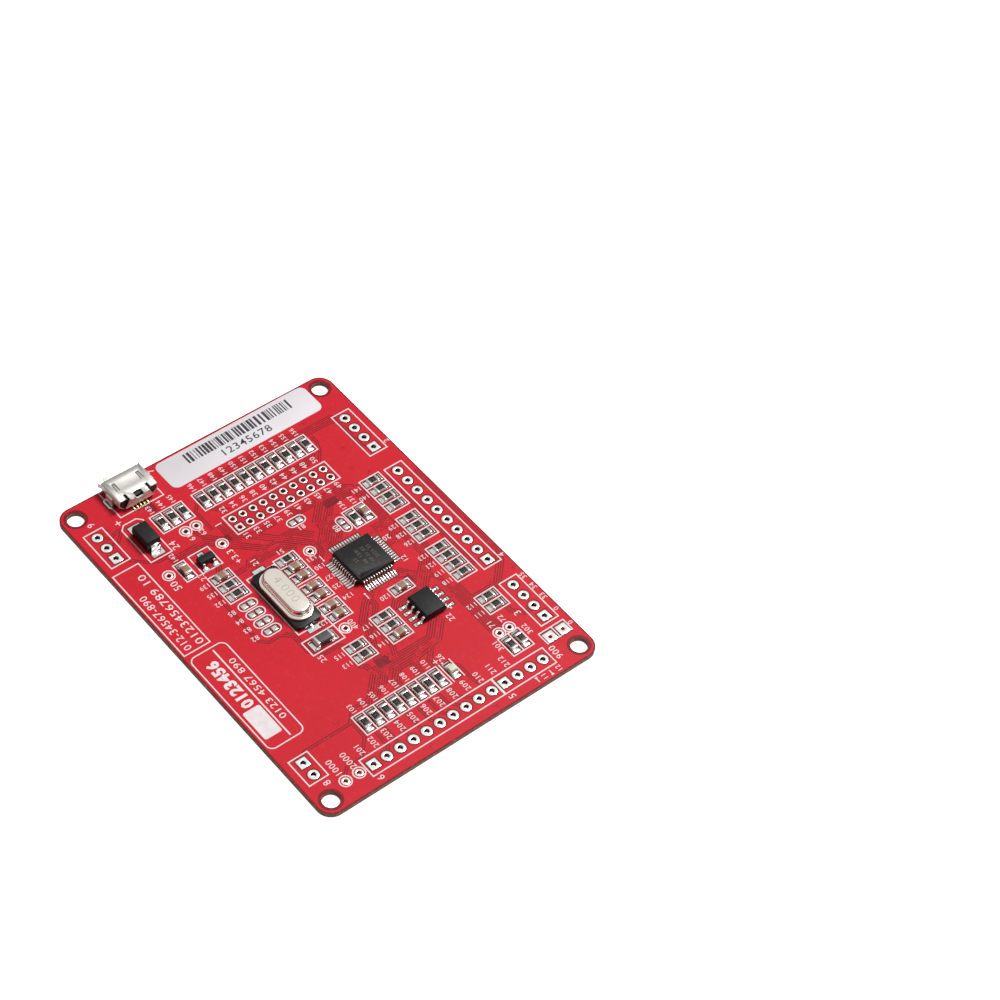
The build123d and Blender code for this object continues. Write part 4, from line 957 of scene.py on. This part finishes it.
can = racetrack("crystal_cover", can_length, can_width, flange_wall,
                (can_centre.x, can_centre.y, foot_z))
choose(can, "FACE", lambda f: f.normal.z > 0.9)
bpy.ops.mesh.inset(thickness=flange * mm)
rise = (0, 0, (can_height - flange_wall) * mm)
bpy.ops.mesh.extrude_region_move(TRANSFORM_OT_translate={"value": rise})
done()
bevel(can, lambda e: all(abs(v.co.z - high.z) < 1e-6 for v in e.verts), top_roll, 7)
bevel(can, lambda e: at_foot(e) and abs(from_spine(e) - can_width / 2 + flange) < 0.02,
      foot_curve, 5)
bevel(can, lambda e: at_foot(e) and abs(from_spine(e) - can_width / 2) < 0.02, flange_roll, 3)
keep(smooth(can, 50), "nickel_can", "nickel_steel", "crystal_can")
plate_centre, plate_size = box_of("crystal_header_plate")
plate = racetrack("crystal_base_plate", can_length, can_width, plate_size.z,
                  (can_centre.x, can_centre.y, plate_centre.z - plate_size.z / 2))
keep(rounded(plate, 0.06, 3), "nickel_can", "nickel_steel", "crystal_header_plate")
softened("crystal_seat", "crystal_spacer", "black_plastic", "black_plastic", 0.06)
softened("crystal_leads", "crystal_legs", "tinned_leads", "tinned_lead", 0.05)
print("crystal cover", len(can.data.polygons), "faces")

# %% [markdown]
# ## The USB socket
# The socket is folded from one steel sheet round a black insert with five gold contacts. Its
# windows, spring fingers and folded-down rear flap are real holes and tongues in the CAD, so
# a merged copy keeps them, and each sheared edge gets a small roll that glints.

# %% Shell, insert and contacts
shell = softened("usb_shell", "socket_shell", "socket_steel", "plated_steel_shell", 0.05, 2, 25)
softened("usb_insulator", "socket_insert", "black_plastic", "black_plastic", 0.04, 2, 25)
softened("usb_contacts", "socket_contacts", "gold_plate", "gold_plate", 0.02, 1, 25)
print("shell", len(shell.data.polygons), "faces")

# %% [markdown]
# ## Printed figures
# The board is printed with numbers beside its parts and pins. A Text object is written, given
# a little thickness and turned into a mesh, because only a mesh can be measured and moved
# into its exact place. Plain running numbers stand in for any names.

# %% Write a number at its place
def figures(text, place, height, turn=0, z=None, width=None, thick=0.02, bold=0.0):
    """Plain figures of this height in millimetres, centred on a place and lying on a face."""
    bpy.ops.object.select_all(action="DESELECT")
    bpy.ops.object.text_add(location=(0, 0, 0))
    written = bpy.context.object
    written.data.body = text
    written.data.resolution_u = 2
    written.data.offset = bold
    written.data.extrude = 0.5
    written.data.space_character = 1.08
    bpy.ops.object.convert(target="MESH")
    corners = [v.co for v in written.data.vertices]
    low = Vector([min(c[i] for c in corners) for i in range(3)])
    high = Vector([max(c[i] for c in corners) for i in range(3)])
    tall = height / (high.y - low.y)
    wide = tall if width is None else width / (high.x - low.x)
    z = board_top if z is None else z
    shape = Matrix.Diagonal((wide * mm, tall * mm, thick * mm, 1))
    home = Matrix.Translation(-(low + high) / 2)
    put = Matrix.Translation(Vector((place[0], place[1], z + thick / 2)) * mm)
    written.data.transform(put @ Matrix.Rotation(math.radians(turn), 4, "Z") @ shape @ home)
    return written


def merge(piece):
    """Merge the doubles of a piece, which closes figures made from text."""
    choose(piece, "VERT", lambda v: True)
    bpy.ops.mesh.remove_doubles(threshold=1e-7)
    bpy.ops.mesh.normals_make_consistent(inside=False)
    done()
    return piece


print("figure height", round(figures("8", (0, 0), 0.95).dimensions.y / mm, 3), "mm")
bpy.data.objects.remove(bpy.context.object)

# %% [markdown]
# ## Numbers beside the parts
# A part's number stands past its end and runs along it. It is tried past one end and then
# past the other, against every place that is already taken, and where neither is free the
# number is left out. So each place follows from the parts themselves.

# %% Number the chips
taken = []
land_long, land_short, pad_half = 1.9, 1.0, 0.95
for x, y, _, turn in resistor_places + capacitor_places:
    taken.append((x, y, land_short, land_long) if turn else (x, y, land_long, land_short))
for cad_name in ("test_point_barrels", "header_barrels", "display_header_barrels",
                 "jumper_lands", "microcontroller_leads", "eight_lead_ic_leads"):
    taken += [(c.x, c.y, pad_half, pad_half) for c, _ in islands(cad_name)]
for cad_name in ("crystal_seat", "label", "usb_shell", "power_diode_leads",
                 "ferrite_bead_body", "led_base"):
    centre, size = box_of(cad_name)
    taken.append((centre.x, centre.y, size.x / 2, size.y / 2))


def free(x, y, half_x, half_y):
    """Whether a box round this place keeps off everything that is already there."""
    return all(abs(x - far_x) > half_x + reach_x or abs(y - far_y) > half_y + reach_y
               for far_x, far_y, reach_x, reach_y in taken)


past, long_half, short_half = 3.3, 0.98, 0.4
chip_numbers = []
chips_in_order = sorted(resistor_places + capacitor_places, key=lambda p: (round(p[0]), -p[1]))
for count, (x, y, z, turn) in enumerate(chips_in_order):
    halves = (short_half, long_half) if turn else (long_half, short_half)
    for way in (past, -past):
        spot = (x, y + way) if turn else (x + way, y)
        if free(*spot, *halves):
            chip_numbers.append(figures(str(101 + count), spot, 0.85, turn))
            taken.append((*spot, *halves))
            break
printed = merge(join("part_numbers", chip_numbers))
keep(printed, "white_ink", "white_ink")
print("part numbers:", len(chip_numbers), "for", len(chips_in_order), "chips")

# %% [markdown]
# ## Numbers beside the pins
# The first twelve header holes on the short side have their pin numbers inboard, and the
# double-row header has one on each outer side. These too are counted off the CAD's own holes.

# %% Number the header pins
inboard, left, right, rise, high_as = 3.2, -2.15, 2.4, 0.1, 0.95
column = sorted((c for c, _ in islands("header_barrels") if c.x < -31), key=lambda c: -c.y)[:12]
pin_numbers = [figures(str(201 + i), (c.x + inboard, c.y + rise), high_as)
               for i, c in enumerate(column)]
fine = sorted((c for c, _ in islands("display_header_barrels")), key=lambda c: (-c.y, c.x))
for i, c in enumerate(fine):
    aside = right if i % 2 else left
    pin_numbers.append(figures(str(31 + i), (c.x + aside, c.y + rise), high_as))
keep(merge(join("pin_numbers", pin_numbers)), "white_ink", "white_ink")
print("pin numbers:", len(column) + len(fine))

# %% [markdown]
# ## Larger numbers and marks
# Connectors, test points and packages have larger numbers, set where there is room.
# Upright ones read along the board and the turned ones read upward.

# %% Number the connectors, test points and packages
upright = [("8", -30.3, 22.8, 1.2), ("6", -34.3, 15.8, 1.2), ("5", -34.4, -9.5, 1.2),
           ("3", -22.5, -20.4, 1.2), ("4", -12.0, -25.9, 1.0), ("2", 17.6, -26.0, 1.0),
           ("9", 30.6, 22.9, 1.2), ("7", 34.4, 8.8, 1.0), ("1", 19.1, 6.6, 1.2),
           ("22", -17.0, -11.4, 1.0), ("23", 11.9, 14.9, 1.0), ("21", 9.5, 6.6, 1.0),
           ("24", 19.7, 14.7, 1.2), ("25", -11.7, 9.5, 1.0), ("26", -22.2, -5.2, 0.95),
           ("1000", -28.7, 20.4, 1.1), ("2000", -29.0, 17.9, 1.1), ("400", -9.2, 1.6, 0.95),
           ("50", 12.9, 19.2, 1.3), ("+3.3", 12.4, 8.4, 1.15), ("61", 19.35, 11.6, 0.95),
           ("62", 19.35, 9.5, 0.95), ("71", -21.9, -15.6, 0.95), ("72", -21.9, -17.7, 0.95),
           ("301", -25.8, -13.8, 0.95), ("302", -25.8, -19.6, 0.95), ("+", 28.5, 19.2, 1.0),
           ("+", -22.4, -4.1, 0.9), ("80", 7.5, -8.0, 0.95), ("900", -31.9, -20.3, 1.2),
           ("11", -34.45, -15.9, 0.85), ("12", -34.45, -18.7, 0.85), ("0", -28.8, -25.9, 0.9),
           ("0", -25.4, -25.9, 0.9), ("33", -22.3, -25.9, 0.9), ("34", -19.8, -25.9, 0.9),
           ("35", -17.3, -25.9, 0.9), ("12", -3.5, -13.0, 0.9)]
upward = [("81", 11.0, -3.8, 0.95), ("51", 8.9, 2.0, 0.9), ("20", 1.4, -13.3, 0.95),
          ("82", -2.6, 15.4, 0.9), ("83", -0.6, 15.4, 0.9), ("84", 1.4, 15.4, 0.9),
          ("85", 3.4, 15.4, 0.9)]
marks = [figures(text, (x, y), height) for text, x, y, height in upright]
marks += [figures(text, (x, y), height, 90) for text, x, y, height in upward]
stroke, arrow_x = (0.9, 0.16, 0.02), -34.4
for x, y, side in ((-5.6, -3.5, -1), (3.5, -2.4, 1), (-15.6, -12.7, 0)):
    marks.append(disc("pin_dot", 0.17, 0.02, (x, y, board_top), 20))
    if side:
        marks.append(block("pin_line", stroke, (x + side * 0.7, y, board_top)))
for y, turn in ((-14.6, 0), (-17.2, 180)):
    marks.append(block("arrow_shaft", stroke, (arrow_x, y, board_top)))
    tip = arrow_x + (0.42 if turn == 0 else -0.42)
    head = disc("arrow_head", 0.34, 0.024, (0, 0, board_top), 3)
    head.data.transform(Matrix.Translation((tip * mm, y * mm, 0))
                        @ Matrix.Rotation(math.radians(turn - 90), 4, "Z"))
    marks.append(head)
keep(merge(join("board_marks", marks)), "white_ink", "white_ink")
title = [figures("012-34567-890", (7.9, 24.72), 1.3, width=12.5),
         figures("0123456789 10", (9.7, 22.5), 1.35, width=16.2),
         figures("0123456", (-7.4, 23.7), 2.2, width=10.2, bold=0.045),
         figures("0123 4567 890", (-10.3, 20.7), 1.15, width=13.6)]
keep(merge(join("title_numbers", title)), "white_ink", "white_ink")
print("marks:", len(upright) + len(upward), "and", len(title), "title lines")

# %% [markdown]
# ## The label
# A printed paper label with a bar pattern and a number is stuck along the edge. The paper
# sheet has softly cut edges. Its bars are thin strips of ink of seeded widths, so the pattern
# is plain and means nothing, and the label lies half a degree askew, as a hand would put it.

# %% Paper, bars and number
softened("label", "paper_label", "label_paper", "label_paper", 0.02, 2, 40)
sheet, _ = box_of("label")
paper_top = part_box("label")[1].z / mm
askew, ink_wall = math.radians(0.45), 0.004
random.seed(12)
bars = []
along, bars_end, bar_length, bar_x = 9.9, -10.8, 2.15, 1.15
while along > bars_end:
    width = random.choice((0.14, 0.14, 0.24, 0.36, 0.5))
    bars.append(block("bar", (bar_length, width, ink_wall), (bar_x, along - width / 2, paper_top)))
    along -= width + random.choice((0.16, 0.2, 0.3, 0.44))
bars.append(figures("12345678", (-1.25, -0.6), 1.45, -90, paper_top, 9.6, ink_wall, 0.005))
ink = merge(join("label_bars", bars))
ink.data.transform(Matrix.Translation((sheet.x * mm, sheet.y * mm, 0))
                   @ Matrix.Rotation(askew, 4, "Z"))
keep(ink, "label_print", "label_paper")
print("bars:", len(bars) - 1)

# %% [markdown]
# ## Marks on the packages
# The crystal's frequency is engraved in its cover, and the controller carries faint laser
# marks. Both are thin figures that lie in the surface, in a tone close to it.

# %% Engrave the crystal and mark the packages
sunk = 0.001
can_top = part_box("crystal_can")[1].z / mm - sunk
engraved = figures("4.000", (can_centre.x, can_centre.y), 1.45, 180, can_top, 5.6, ink_wall, -0.02)
engraved.name = "crystal_figures"
keep(merge(engraved), "can_engraving", "nickel_steel")
case, _ = box_of("microcontroller_body")
case_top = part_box("microcontroller_body")[1].z / mm - sunk
laser = [figures(text, (case.x, case.y + 1.5 - 1.1 * row), 0.62, 0, case_top, width, ink_wall)
         for row, (text, width) in enumerate((("32", 0.9), ("48 128", 3.2), ("00 01 02", 3.4),
                                              ("2020 33", 3.0)))]
keep(merge(join("controller_marks", laser)), "package_print", "black_epoxy")
random.seed(5)
values = [figures(random.choice(("102", "103", "151", "220", "472", "000")), (x, y), 0.5,
                  turn, pad_top + resistor_height - sunk, 0.95, ink_wall)
          for x, y, _, turn in resistor_places]
keep(merge(join("resistor_values", values)), "package_print", "black_glaze")
print("marks on", len(values), "resistors")

# %% [markdown]
# ## Floor, light and camera
# The board lies on a plain white table under studio light: one large soft lamp from the far
# side makes the sheen on the packages and the short shadows, and a weak even light fills in.
# What the camera sees of the table is white, and it still takes the board's shadow.

# %% Table
bpy.ops.mesh.primitive_plane_add(size=6, location=(0, 0, -0.0001))
table = bpy.context.object
table.name = "table"
def bare_material(name):
    """A new material, and its node tree with nothing in it."""
    material = bpy.data.materials.new(name)
    material.use_nodes = True
    material.node_tree.nodes.clear()
    return material, material.node_tree


white, tree = bare_material("white_table")
matt = node(tree, "ShaderNodeBsdfDiffuse", in_Color=(0.86, 0.86, 0.86, 1))
seen = node(tree, "ShaderNodeLightPath")
glow = node(tree, "ShaderNodeEmission", [(seen.outputs["Is Camera Ray"], "Strength")])
both = node(tree, "ShaderNodeAddShader", [(matt.outputs[0], 0), (glow.outputs[0], 1)])
node(tree, "ShaderNodeOutputMaterial", [(both.outputs[0], "Surface")])
dress(white, table)

# %% [markdown]
# ## Shade under the board
# Hardly any light gets under a board that lies flat, so its small holes look black inside.
# The white of the table would shine up through them, so a dark card of painted shade is laid
# on the table: its near-black colour stands for the shadow under the board. It stops short of
# the header rows and the mounting holes along the edges, where enough light gets in for a
# glint of the table to show.

# %% Shade card
_, size = box_of("laminate_core")
header_strip = 5.3
long, wide = size.x - 2 * header_strip, size.y - 2 * header_strip
card = block("shade_card", (long, wide, 0.02), (0, 0, -0.08))
dark, tree = bare_material("shade")
# Painted shadow: the card's near-black colour stands for the shade under the board.
matt = node(tree, "ShaderNodeBsdfDiffuse", in_Color=(0.012, 0.009, 0.008, 1))
node(tree, "ShaderNodeOutputMaterial", [(matt.outputs[0], "Surface")])
dress(dark, card)
print("shade card", round(long, 1), "by", round(wide, 1), "mm")

# %% [markdown]
# ## The sky and two lamps
# The world does three jobs. The camera sees plain white, matt surfaces get a weak even fill,
# and mirror-like ones see a sky that is bright overhead and dark low down. That last part is
# what gives tin and steel their strong lights and darks. The lamps add the shadows.

# %% World and lamps
world = bpy.data.worlds.new("studio")
bpy.context.scene.world = world
world.use_nodes = True
tree = world.node_tree
tree.nodes.clear()
seen = node(tree, "ShaderNodeLightPath")
place = node(tree, "ShaderNodeTexCoord")
height = node(tree, "ShaderNodeSeparateXYZ", [(place.outputs["Generated"], 0)])
overhead = node(tree, "ShaderNodeMapRange", [(height.outputs["Z"], "Value")],
                interpolation_type="SMOOTHSTEP", in_From_Min=0.3, in_From_Max=0.66,
                in_To_Min=0.05, in_To_Max=0.88)
fill = node(tree, "ShaderNodeMix", [(seen.outputs["Is Glossy Ray"], 0),
                                    (overhead.outputs["Result"], 3)], in_2=0.22)
level = node(tree, "ShaderNodeMath", [(fill.outputs[0], 0),
                                      (seen.outputs["Is Camera Ray"], 1)], operation="MAXIMUM")
sky = node(tree, "ShaderNodeBackground", [(level.outputs[0], "Strength")])
node(tree, "ShaderNodeOutputWorld", [(sky.outputs[0], "Surface")])


def lamp(name, place, size, power):
    """A square area lamp that faces the board."""
    bpy.ops.object.light_add(type="AREA", location=place)
    light = bpy.context.object
    light.name = name
    light.data.size = size
    light.data.energy = power
    light.rotation_euler = (-Vector(place)).to_track_quat("-Z", "Y").to_euler()


lamp("key", (0.02, -0.6, 1.0), 0.36, 12)
lamp("side", (-0.7, -0.2, 0.7), 0.5, 1)

# %% [markdown]
# ## The camera
# A long lens from half a metre keeps the board's edges nearly parallel. The camera faces its
# aim point and is then rolled a few degrees about its own view line.

# %% Camera
stand, aim_point, roll = (-0.210533, 0.174649, 0.341944), (-0.002629, -0.033498, 0), 7.023
bpy.ops.object.camera_add(location=stand)
camera = bpy.context.object
bpy.context.scene.camera = camera
camera.data.lens = 100.638
camera.data.sensor_width = 36
camera.data.clip_start = 0.01
aim = Vector(aim_point) - camera.location
camera.rotation_mode = "QUATERNION"
camera.rotation_quaternion = (aim.to_track_quat("-Z", "Y")
                              @ Quaternion((0, 0, 1), math.radians(roll)))
bpy.context.scene.view_settings.view_transform = "Standard"
print("camera lens", camera.data.lens)

# %% [markdown]
# ## Bring the scene up to date
# The view layer is updated after the last piece is placed.

# %% Update the view layer
bpy.context.view_layer.update()
